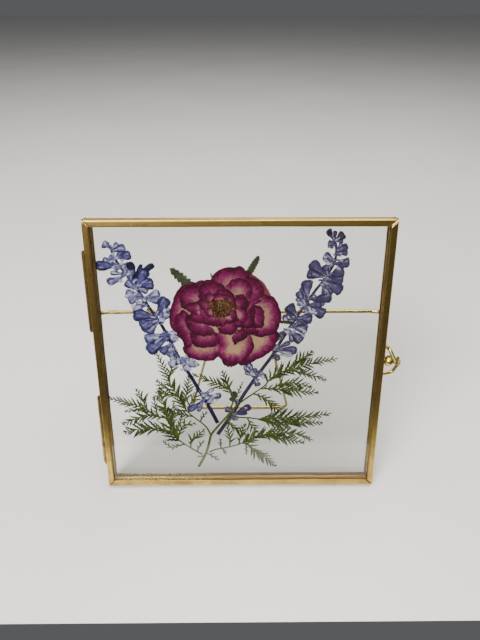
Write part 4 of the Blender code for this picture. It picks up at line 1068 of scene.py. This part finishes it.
VIOLET_BLUES = (
    (0.0, (0.012, 0.010, 0.045)),
    (0.22, (0.028, 0.027, 0.125)),
    (0.45, (0.080, 0.070, 0.235)),
    (0.64, (0.205, 0.185, 0.400)),
    (0.80, (0.430, 0.440, 0.620)),
    (1.0, (0.660, 0.660, 0.740)),
)
salvia, ins, outs = group(
    "pressed_salvia", (("Greyness", "Float", 0.0), ("Grey", "Color", (0.058, 0.042, 0.070, 1)))
)
tone, reach, across_it = (attribute(salvia, name) for name in ("tone", "reach", "across"))
lines = noise(salvia, scaled(salvia, (across_it, 1.5), (reach, 0.9), (tone, 9.0)), 1.6, 4.0, 0.6)
blotch = noise(salvia, object_place(salvia), 560.0, 4.0)
edge = sums(salvia, "POWER", sums(salvia, "ABSOLUTE", across_it), 2.0)
edge = sums(salvia, "MAXIMUM", edge, spread(salvia, reach, 0.82, 1.0))
pale_share = swayed(salvia, sums(salvia, "MULTIPLY_ADD", tone, 0.42, 0.49), lines, 1.45)
pale_share = sums(salvia, "MULTIPLY_ADD", edge, -0.52, swayed(salvia, pale_share, blotch, 0.75))
faded = sums(salvia, "MULTIPLY", ins["Greyness"], spread(salvia, pale_share, 0.6, 1.0, 1.0, 0.1))
give(
    salvia,
    outs,
    mixed(salvia, faded, ramp(salvia, pale_share, VIOLET_BLUES), ins["Grey"]),
    sums(salvia, "MULTIPLY_ADD", lines, 0.2, 0.55),
    bump(salvia, blotch, 0.4, 0.0004, bump(salvia, lines, 0.5, 0.0003)),
)
SALVIA = material("pressed_salvia", salvia, {}, {"Specular IOR Level": 0.15})
GREY_SALVIA = material("pressed_salvia_faded", salvia, {"Greyness": 0.55}, {"Specular IOR Level": 0.15})

# The stems' points, across and height in turn
LEFT_STEM = [
    -12.6, 38.2, -17, 48, -22, 58, -25.5, 65, -28, 69.5, -32, 77, -36, 86, -39.5, 94, -42.5, 99.5,
    -46.5, 106, -50, 112.5, -54, 119, -59, 126.5, -62, 132, -63, 137,
]
RIGHT_STEM = [
    -12.8, 30.2, -8.5, 37, -4, 44, 0, 52, 6, 62, 12, 71, 17, 78.5, 21, 86, 25, 93, 29, 100, 33.5, 107,
    38, 114, 41, 118, 44, 123, 46.5, 128, 47.2, 134, 46, 140,
]
# A floret is (root across, root height, tip across, tip height, width, paleness)
LEFT_FLORETS = [
    (-51, 120.5, -42.4, 128, 2.3, -0.9), (-50.5, 118, -54.8, 129.4, 3.4, -1.3),
    (-60, 127, -71.3, 127.4, 3.8, 0.1), (-57, 122.5, -66.5, 118.6, 2.9, 0.5),
    (-61, 131, -53.3, 132.8, 3.4, 0.1), (-63, 136, -67, 138, 3, 0.4), (-62, 134.5, -55.8, 136.4, 3, 0.4),
    (-61, 130, -64.5, 131.5, 2.6, 0.5), (-60, 127.5, -62, 125, 2.6, 0.5),
    (-57, 123, -57.5, 128.5, 2.6, 0.4), (-55, 119.5, -53.8, 125.5, 3.2, 0.6),
    (-52, 117, -43, 118, 4.6, 0.1), (-52, 116, -46.5, 125.5, 4.6, 0), (-51.5, 114.5, -57, 119.5, 3.6, 0.3),
    (-50, 111.5, -57.8, 113, 3.6, 0.7), (-49.5, 111, -56.5, 108.6, 3.2, 0.6),
    (-49, 110.5, -40.3, 113.6, 3.2, 0.7), (-48, 109.5, -40.8, 109.2, 3, 0.5),
    (-47, 107, -54.8, 104.8, 2.8, 0.8), (-43.5, 101, -37, 110.8, 4.6, 0.1),
    (-42.5, 100.3, -54.8, 102.2, 5.4, 0), (-42, 99, -51.5, 94.6, 5.4, 0.2),
    (-41.5, 98, -48, 91.2, 3.6, 0.4), (-40.5, 96, -36.6, 103, 3.2, 0.7), (-38.2, 91, -49.8, 87.6, 4.4, 0.4),
    (-37.5, 89, -48.8, 81.2, 4.8, 0.2), (-38.2, 91, -32.6, 87.8, 3.8, 0.8), (-36, 86, -41.5, 80, 3.4, 0.2),
    (-34.5, 83.5, -37.4, 78, 3, 0.6), (-33, 80, -36.8, 72.5, 3.4, 0.8), (-32, 77.5, -26.4, 76.2, 3, 0.6),
    (-31, 76, -27.4, 70.4, 3.8, 0.9), (-31.5, 77, -22.6, 73.2, 3, 0.9), (-21.5, 57, -17.2, 55.8, 3, 0.5),
    (-20, 54, -14.6, 52, 4, 0.8), (-20.5, 55, -10.2, 55.4, 2.6, 0.5), (-19.5, 53, -28.8, 46, 2.6, 0.1),
]
RIGHT_FLORETS = [
    (46, 139, 42.6, 144.8, 2.8, -0.4), (46.2, 139, 50.8, 142.2, 4, 0), (46.6, 137, 42.6, 137.4, 3.4, 0.5),
    (47.2, 134, 52.8, 136.4, 3, 0.2), (47, 132.5, 53, 133.2, 3, 0.2), (46.7, 129, 41, 132, 4, 0.3),
    (46, 127, 42.6, 128.6, 2.8, 0.7), (46.5, 127.5, 54.3, 128.4, 4.4, 0.1), (43, 121, 34.6, 128.4, 5, 0.2),
    (42.5, 120.5, 33, 122.8, 4.6, 0.1), (43.6, 122, 42.6, 127.2, 3.4, 0.3),
    (44, 121, 51.8, 124.4, 5.2, 0.1), (43, 119.5, 51.8, 119.4, 4.4, 0.1), (42.5, 118, 51.4, 113, 5.2, 0.2),
    (42.5, 118, 43.6, 111.2, 3.4, 0.5), (36, 109, 46.6, 110.6, 5.2, 0.1), (35, 108, 33.6, 119.6, 5.2, 0.2),
    (33.5, 106.5, 29, 113.6, 3.6, 0.3), (33, 106, 28.9, 107.4, 3, 0.8),
    (33.5, 105.5, 43.4, 100.6, 5.4, 0.1), (32.5, 105, 38.6, 102.4, 3.4, 0.8), (29, 100, 24, 106.2, 5.2, 0),
    (28.5, 98.5, 21.4, 99.6, 3, 0.2), (29, 99, 37.2, 98.6, 5.2, 0.2), (26.5, 94, 35, 93, 5, 0.4),
    (25.5, 92, 32, 85.8, 5, 0.3), (25.5, 93, 22.6, 92, 3, 0.9), (22.5, 88, 20.4, 91.6, 3.4, 0.1),
    (19, 81.5, 30, 80.8, 4, 0.1), (19, 81, 27.8, 78.2, 2.6, 0.8), (18, 79.5, 20.6, 75.4, 2.4, 0.3),
    (20, 84, 17, 82, 2.6, 0.7), (8.6, 65.6, 3.2, 73.6, 4.6, 0.5), (8.6, 66, 7.2, 71, 2.8, 0.4),
    (8, 65, 9.6, 60.2, 3, 0.2), (9, 66.5, 14, 66, 2.6, 0.6), (-1, 50, -4.4, 57.2, 3.2, -0.6),
    (-5, 42.5, 5.8, 48.2, 3.6, -0.3), (-3.5, 45, -8.4, 46.8, 3.4, 0.3), (-5.5, 41.5, -1, 40.4, 2.4, 0.4),
]

# Where the downy pale cups show: (across, height, size)
LEFT_PALE = [
    (-62, 133, 1.6), (-60.5, 131, 1.5), (-58, 130, 1.6), (-63.5, 129.3, 1.6), (-58.4, 128.2, 1.5),
    (-62.5, 126.6, 1.5), (-57.5, 127, 1.4), (-59.5, 119.6, 1.8), (-55.5, 123, 1.8), (-57, 111.6, 1.8),
    (-55.4, 112.6, 1.8), (-54, 114.6, 1.6), (-52.4, 113, 1.8), (-52, 109, 1.8), (-50.4, 108.4, 1.6),
    (-48.4, 109.4, 1.5), (-54, 106, 2), (-52.6, 105, 1.6), (-42.6, 112.6, 2.6), (-38.4, 104, 1.8),
    (-36.8, 104.6, 1.4), (-40.6, 99, 1.8), (-39.4, 98.4, 1.6), (-43.6, 89, 2.6), (-35, 90, 1.8),
    (-34.2, 88.4, 2.2), (-33, 88, 1.8), (-36.6, 82.4, 1.8), (-36, 77.6, 1.8), (-34.4, 72.6, 1.8),
    (-30, 74, 2.2), (-28.4, 72.6, 1.8), (-25.4, 76, 2), (-24, 74.4, 2.4), (-22.8, 73.6, 2), (-31, 71, 1.6),
    (-27, 71, 1.8), (-18, 54, 2), (-16.2, 53, 1.8), (-14, 55.4, 2.2), (-17, 51.6, 1.8), (-15, 51.2, 1.6),
    (-20, 55.4, 1.8), (-13, 53, 1.5),
]
RIGHT_PALE = [
    (42, 129.4, 2), (43.2, 127.6, 1.8), (45, 127.4, 1.6), (41.8, 131, 1.6), (48.8, 125.2, 1.6),
    (50, 129, 1.8), (29.8, 107.6, 1.8), (31, 107, 1.6), (35.2, 104.4, 2), (36.2, 102.6, 2.2),
    (37.6, 103.6, 1.8), (38.4, 102, 1.8), (41, 117, 1.6), (43.4, 113.6, 1.8), (23.2, 92, 2),
    (24.2, 91.4, 2), (25.2, 93.2, 1.8), (28, 92.4, 1.8), (27.4, 91, 1.6), (31, 93.4, 2.2), (33, 92, 2.2),
    (32.4, 89.6, 2), (23.2, 98.6, 1.8), (24.8, 99.6, 1.6), (18.2, 83, 1.8), (17.6, 81.8, 1.6),
    (22, 78.8, 1.8), (24.4, 78.2, 2), (26.4, 78.2, 1.8), (5, 72, 2.4), (4, 70.4, 1.8), (6, 68, 1.8),
    (7, 67.2, 1.6), (12, 65.8, 1.8), (8.6, 63, 1.6), (-2.6, 53, 1.6), (3, 47, 1.6),
]
STATIONS, BLADE_CORNERS = 16, 8


def open_curve(points, spacing):
    """A curve through the points, stepped evenly by length."""
    points = np.reshape(points, (-1, 2))
    padded = np.concatenate([2 * points[:1] - points[1:2], points, 2 * points[-1:] - points[-2:-1]])
    curve = curve_through(*(padded[i : len(padded) - 3 + i, None] for i in range(4)), 12)
    return even(np.concatenate([curve, points[-1:]]), spacing)


def blades(roots, tips, left_widths, right_widths, thickness, depth, bow, notch=0.0):
    """Many blades at once, each from its root to its tip along a parabola, as rings.

    The widths are (blade, station) arrays. notch draws the middle back at the tip, by that share
    of the length, so that the end has two lobes.
    """
    s = np.linspace(0, 1, left_widths.shape[1])[None, :, None]
    way = (tips - roots)[:, None]
    side = unit(np.stack([-way[..., 1], way[..., 0]], -1))
    arched = 4 * s * (1 - s) * np.asarray(bow)[:, None, None] * side
    spine = roots[:, None] + s * way + arched
    drawn_back = spine - notch * np.clip((s - 0.8) / 0.2, 0, 1) ** 2 * way
    left, right = spine + left_widths[..., None] * side, spine - right_widths[..., None] * side
    return blade_rings(left, right, drawn_back, depth, thickness)


def nearest(line, spots):
    """The line's nearest point to each spot."""
    return line[np.argmin(np.linalg.norm(spots[:, None] - line[None], axis=-1), axis=1)]


def flat_stem(line, depth, thickness, first_width, last_width, sides=10):
    """A pressed stem: a tube along the line that is wide across the frame and thin in depth."""
    path = np.stack([line[:, 0], np.full(len(line), depth), line[:, 1]], -1)
    half = np.interp(np.linspace(0, 1, len(path)), [0, 1], [first_width / 2, last_width / 2])
    rings = round_tube(path, half, sides)
    rings[..., 1] = depth + (rings[..., 1] - depth) * thickness / (2 * half[:, None])
    return tubes(rings[None])


def turned_by(vectors, angles):
    """Flat vectors turned by the angles."""
    c, s = np.cos(angles), np.sin(angles)
    return np.stack([vectors[:, 0] * c - vectors[:, 1] * s, vectors[:, 0] * s + vectors[:, 1] * c], -1)


# How wide a lip and a cup are at some places from root to tip, as shares of their full width
LIP_PLACES = [0, 0.25, 0.42, 0.6, 0.78, 0.9, 0.97, 1]
LIP_LEFT = [0.24, 0.32, 0.55, 0.84, 0.99, 0.94, 0.72, 0.30]
LIP_RIGHT = [0.24, 0.30, 0.50, 0.80, 0.97, 0.90, 0.66, 0.26]
CUP_PLACES = [0, 0.2, 0.6, 0.85, 1]
CUP_WIDTHS = [0.3, 0.75, 1.0, 0.85, 0.35]
# Half widths: shares of a floret's width for both lips, and millimetres for a cup and a bud
LIP_HALF, SECOND_HALF, CUP_HALF, BUD_HALVES = 0.56, 0.36, 0.75, (0.6, 0.55)
LIP_THICKNESS, CUP_THICKNESS = 0.08, 0.1
SECOND_LENGTH = 0.74
STEM_TONE = -1.15


def spike(name, stem, florets, pale_spots, broad, depth, seed, finish):
    """A spike: broad lips, second lips turned aside, cups, buds, downy cups and a tapering stem.

    A floret's root is the stem's nearest point. Its tone grows paler with the number in its list,
    and its place in the depth, its edges and its bow are slightly uneven.
    """
    rolls = np.random.default_rng(seed)
    line = open_curve(stem, 0.5)
    florets = np.array(florets, float)
    roots = nearest(line, florets[:, :2])
    tips, width, tone = florets[:, 2:4], broad * florets[:, 4:5], florets[:, 5]
    way, count = tips - roots, len(florets)
    long = np.linalg.norm(way, axis=1)
    s = np.linspace(0, 1, STATIONS)[None]
    left_lip, right_lip = np.interp(s, LIP_PLACES, LIP_LEFT), np.interp(s, LIP_PLACES, LIP_RIGHT)
    cup = np.interp(s, CUP_PLACES, CUP_WIDTHS)
    uneven = 1 + 0.04 * rolls.normal(size=(2, count, STATIONS)) * (s > 0.3)
    layer = depth + 0.08 + rolls.uniform(-0.05, 0.05, count)
    bows = rolls.uniform(-0.5, 0.5, count)
    rings, tones = [], []

    def grow(own_tones, *blade):
        """Adds blades and their tones."""
        rings.append(blades(*blade))
        tones.append(own_tones)

    halves = width * LIP_HALF * left_lip * uneven[0], width * LIP_HALF * right_lip * uneven[1]
    grow(tone, roots, tips, *halves, LIP_THICKNESS, layer, bows, 0.05)
    # The second lip is shorter and turned to one side
    lean = rolls.choice([-1, 1], count) * rolls.uniform(0.3, 0.65, count)
    second_tips = roots + SECOND_LENGTH * turned_by(way, lean)
    halves = width * SECOND_HALF * left_lip, width * SECOND_HALF * right_lip
    second_tone = tone + rolls.uniform(0.0, 0.35, count)
    grow(second_tone, roots, second_tips, *halves, LIP_THICKNESS, layer + 0.05, 0.3 * lean, 0.06)
    # The cup that each floret stands in
    cup_tips = roots + way * (np.minimum(3.6, 0.55 * long) / long)[:, None]
    half = CUP_HALF * cup + 0 * width
    cup_tone = rolls.uniform(0.3, 0.9, count)
    grow(cup_tone, roots, cup_tips, half, half, CUP_THICKNESS, layer - 0.05, 0 * bows, 0.05)
    # Small closed buds along the stem
    buds = 2 * count
    pick = np.repeat(np.arange(count), 2)
    bud_roots = nearest(line, roots[pick] + rolls.normal(0, 1.5, (buds, 2)))
    swing = rolls.uniform(-1.4, 1.4, buds)
    bud_ways = turned_by(unit(way[pick]), swing) * rolls.uniform(1.6, 3.2, (buds, 1))
    halves = [half * cup + np.zeros((buds, 1)) for half in BUD_HALVES]
    bud_tone, bud_bows = rolls.uniform(-0.3, 0.7, buds), rolls.uniform(-0.3, 0.3, buds)
    ends = bud_roots, bud_roots + bud_ways
    grow(bud_tone, *ends, *halves, LIP_THICKNESS, layer[pick] + 0.02, bud_bows, 0.04)
    # Downy pale cups, pointing away from the stem
    spots = np.array(pale_spots, float)
    out = unit(spots[:, :2] - nearest(line, spots[:, :2]) + 0.05)
    out = turned_by(out, rolls.uniform(-0.5, 0.5, len(spots)))
    half = spots[:, 2:3] * 0.62
    ends = spots[:, :2] - half * out, spots[:, :2] + half * out
    halves, flat = 2 * [0.8 * half * cup], np.zeros(len(spots))
    pale_tone = rolls.uniform(0.95, 1.5, len(spots))
    grow(pale_tone, *ends, *halves, CUP_THICKNESS, flat + (depth - 0.02), flat, 0.11)

    rings, tones = np.concatenate(rings), np.concatenate(tones)
    stem_shape = flat_stem(open_curve(stem, 0.8), depth + 0.2, 0.16, 2.3, 1.3)
    stem_count = len(stem_shape[0])
    across_values = np.tile([1, 0.5, 0, -0.5, -1, -0.5, 0, 0.5], len(tones) * STATIONS)
    reach_values = np.tile(np.repeat(np.linspace(0, 1, STATIONS), BLADE_CORNERS), len(tones))
    measures = {
        "tone": np.concatenate([np.repeat(tones, STATIONS * BLADE_CORNERS), np.full(stem_count, STEM_TONE)]),
        "reach": np.concatenate([reach_values, np.full(stem_count, 0.3)]),
        "across": np.concatenate([across_values, np.full(stem_count, 0.3)]),
    }
    piece = make_mesh(name + "_spike", joined(tubes(rings), stem_shape), measures)
    dress(piece, "rear_frame", "salvia_blue", finish, name)


LEAF_PITCH = 0.38
RIGHT_DEPTH = CALYX_DEPTH + 3 * LEAF_PITCH
spike("salvia_left", LEFT_STEM, LEFT_FLORETS, LEFT_PALE, 1.3, CALYX_DEPTH, 11, SALVIA)
spike("salvia_right", RIGHT_STEM, RIGHT_FLORETS, RIGHT_PALE, 1.1, RIGHT_DEPTH, 12, GREY_SALVIA)

# ------------------------------------------------------------------ fern
# One finely divided olive-green leaf: a forked stem and fronds with pairs of narrow, toothed
# leaflets that point forwards.

FERN = material("dried_fern", leaf, values={"Specular IOR Level": 0.15})
FERN_DEPTH = CALYX_DEPTH + LEAF_PITCH
BACK_FERN_DEPTH = FERN_DEPTH + LEAF_PITCH

# Each branch: its depth and its fronds. A frond is its longest leaflet, and the points of its
# line, across and height in turn
FERN_PARTS = {
    "fern_stem": (FERN_DEPTH, [
        [0, -24.1, 9.4, -22.2, 13, -20, 17.5, -18.5, 22, -17.3, 27, -16.2, 31, -12.5, 36, -8.5, 41,
            -5, 45.5, -1.5, 49.4],
        [2.2, -19.4, 18.4, -16.6, 17, -13, 14.4],
        [0.9, -21, 17, -24.4, 16.4],
    ]),
    "fern_lower_left": (FERN_DEPTH, [
        [6, -21.7, 17.8, -25, 20, -29, 22.8, -32.5, 25.5, -36, 29, -38.8, 33, -39, 38, -40, 43, -41.5, 48,
            -42.5, 54, -43.5, 58.8],
        [6, -38.8, 33, -45, 34.6, -52, 34.6, -57, 34, -63.4, 33],
        [4.2, -41, 41, -47, 42.6, -49.5, 45, -54, 48, -60, 50.5, -66, 52.4, -71.3, 54],
        [4, -49.5, 45, -52, 48.6, -53, 53, -55.6, 58.2],
        [2.6, -53, 47.2, -58, 46.6, -62.6, 45.6],
        [4.6, -44, 41.8, -49, 43, -55, 42, -60, 40, -64.2, 38],
        [2.2, -31.6, 24.9, -36, 23.4, -39, 22.4, -43, 26.2],
        [3.8, -35, 28, -33.6, 33, -31, 37, -26, 37.6],
        [3.6, -28, 22, -27.6, 27, -24.6, 29.6, -20.6, 33.6],
        [2, -24.6, 19.6, -23, 23.4, -20.8, 26.4],
        [2.4, -39, 36, -37.4, 41, -36.4, 46, -36.6, 51.5],
        [2.2, -35, 29, -35.8, 34, -33, 39.5, -32.6, 44],
        [3, -45, 43.5, -46.5, 48, -46.8, 52.5],
    ]),
    "fern_middle_left": (BACK_FERN_DEPTH, [
        [4.6, -16.6, 30, -18.5, 34.5, -21, 37.5, -25, 41, -29, 45, -32, 50, -33.5, 54, -36, 59, -39, 65,
            -41, 72, -44.4, 81],
        [4, -34, 55, -38, 55.6, -43, 56, -46.6, 54],
        [4.2, -31, 47.5, -30, 53, -28.6, 59, -27.6, 66],
        [4.2, -38.4, 64, -36.6, 71, -34.4, 78],
        [4.2, -26, 42, -33, 43.6, -39, 45.4, -44, 46],
        [2.2, -22, 38.6, -20.8, 42, -18.8, 44.6],
        [3.6, -28.5, 44.4, -28, 49, -25, 53.5, -23.4, 58],
        [3.6, -35.6, 58, -41, 60, -44.6, 63.6],
    ]),
    "fern_centre": (FERN_DEPTH, [
        [4.4, -5.6, 46.6, -4, 52, -4.8, 57, -9, 60.4, -14, 63, -19, 65, -24.4, 67.4],
        [3.8, -4.6, 56.5, -7, 62, -9.4, 68.8],
        [1.8, -3.9, 51, -1.6, 56, 1, 63],
    ]),
    "fern_upper_right": (FERN_DEPTH, [
        [5.4, -0.9, 50.1, 4, 54, 8, 57, 13, 61, 16, 65, 20, 68, 26, 70.6, 32, 72, 40, 74.6, 50, 76.4],
        [4.6, 26, 70.6, 30, 75, 37, 80.2],
        [3.8, 24, 70, 31, 69, 38, 67, 45, 64.4],
        [4.6, 11, 59.2, 17, 59.2, 23, 58.4, 31, 57.6, 41, 56.8],
        [4.2, 17, 59.4, 22, 61.8, 29, 62.4, 37.4, 60.4],
        [4.2, 7, 56, 12, 54, 16, 50.5, 20, 46.6, 23, 44.6],
    ]),
    "fern_middle_right": (BACK_FERN_DEPTH, [
        [5.6, -6.6, 43, -1, 41.5, 5, 41, 10, 40.3, 20, 41, 30, 41, 40, 42, 48.4, 43.4],
        [4.8, 9, 40.3, 16, 38, 24, 36.6, 33, 37.6, 44.2, 37.6],
        [4, 4, 41, 6, 36, 9, 32.6],
        [3.4, -6.4, 42.9, -7, 39, -4.6, 35.6, -1, 33, 3.6, 30.4],
    ]),
    "fern_lower_right": (FERN_DEPTH, [
        [5.4, -17.6, 19.3, -14, 21, -9, 22, -4, 23.3, 0, 24.8, 5, 27.5, 10, 30, 16, 30.8, 24, 31.6, 32, 31,
            39.6, 27.2],
        [4.6, 12, 30.4, 18, 29, 26, 27.2, 34.6, 25.4],
        [5, 1, 25.2, 5, 23.6, 8, 20, 12, 16.4, 19.2, 10.4],
        [1.8, -11.3, 21.4, -11.4, 27.6],
        [1.6, -10.4, 21.6, -8.6, 18.4],
        [3.4, -6, 22.8, -5.8, 28, -7.2, 34.6],
        [3.8, -0.6, 24.6, 0, 30, 2.2, 36.6],
        [1.4, 3.2, 24.2, 3.4, 18],
    ]),
}
# A leaflet's half width from foot to tip: forward-pointing teeth, and a fine point
TOOTH_PLACES = [0, 0.10, 0.28, 0.34, 0.50, 0.56, 0.70, 0.76, 0.88, 1.0]
TOOTH_WIDTHS = [0.34, 0.36, 1.00, 0.42, 0.98, 0.40, 0.84, 0.30, 0.30, 0.04]
LEAFLET_STEP, LEAFLET_ANGLE = 2.2, math.radians(40)
LEAFLET_STATIONS, LEAFLET_THICKNESS = 21, 0.07
# How wide a frond's rib and the main stem are at the foot and at the tip
RIB_WIDTHS, MAIN_WIDTHS = (1.0, 0.4), (1.6, 1.2)


def leaflets(line, longest, bare, depth, rolls):
    """A frond's leaflets in pairs with one at its end, as rings, and how fresh each one is.

    Leaflets are longest in the frond's middle and point forwards at about 40 degrees. None grow
    along the bare share of its length, at its foot.
    """
    run = run_of(line)
    total = run[-1]
    count = max(3, int(total / LEAFLET_STEP))
    share = (np.arange(count) + 0.8) / count
    share = share[(share < 0.99) & (share > bare)]
    turn = np.concatenate([np.ones(len(share)), -np.ones(len(share)), [0.0]])
    share = np.concatenate([share, share + 0.5 / count, [1.0 - 0.2 / count]]).clip(0, 1)
    feet = np.stack([np.interp(share * total, run, line[:, i]) for i in range(2)], -1)
    ways = unit(np.stack([np.interp(share * total, run, np.gradient(line[:, i])) for i in range(2)], -1))
    full = np.minimum(1, np.minimum(0.38 + 2.4 * share, 0.34 + 1.5 * (1 - share)))
    length = longest * full * rolls.uniform(1.15, 1.6, len(share))
    out = turned_by(ways, turn * (LEAFLET_ANGLE + rolls.normal(0, 0.12, len(share))))
    s = np.linspace(0, 1, LEAFLET_STATIONS)
    size = (0.28 + 0.082 * length)[:, None]
    left = size * np.interp(s, TOOTH_PLACES, TOOTH_WIDTHS)
    right = size * np.interp(np.clip(s + 0.09, 0, 1), TOOTH_PLACES, TOOTH_WIDTHS)
    layer = depth + rolls.uniform(0.03, 0.15, len(share))
    bow = -turn * 0.05 * length + rolls.normal(0, 0.03, len(share)) * length
    rings = blades(feet, feet + length[:, None] * out, left, right, LEAFLET_THICKNESS, layer, bow)
    return rings, rolls.uniform(0.05, 0.85, len(share))


for seed, (name, (depth, fronds)) in enumerate(FERN_PARTS.items()):
    rolls = np.random.default_rng(40 + seed)
    grown = np.zeros((0, 2))
    rings, tones, ribs = [], [], []
    for longest, *line in fronds:
        line = np.reshape(np.array(line, float), (-1, 2))
        if len(grown):
            line[0] = nearest(grown, line[:1])[0]
        line = open_curve(line, 0.7)
        grown = np.concatenate([grown, line])
        if longest:
            leaf_rings, leaf_tones = leaflets(line, longest, 0.06 if ribs else 0.3, depth, rolls)
            rings.append(leaf_rings)
            tones.append(leaf_tones)
        ribs.append(flat_stem(line, depth + 0.09, 0.17, *(RIB_WIDTHS if longest else MAIN_WIDTHS), 8))
    rings, tones = np.concatenate(rings), np.concatenate(tones)
    leaf_tone = np.repeat(tones, rings.shape[1] * BLADE_CORNERS)
    rib_tone = np.full(sum(len(points) for points, _ in ribs), 0.9 if name == "fern_stem" else 0.7)
    tone = np.concatenate([leaf_tone, rib_tone])
    piece = make_mesh(name + "_leaf", joined(tubes(rings), *ribs), {"tone": tone})
    dress(piece, "rear_frame", "fern_green", FERN, name)
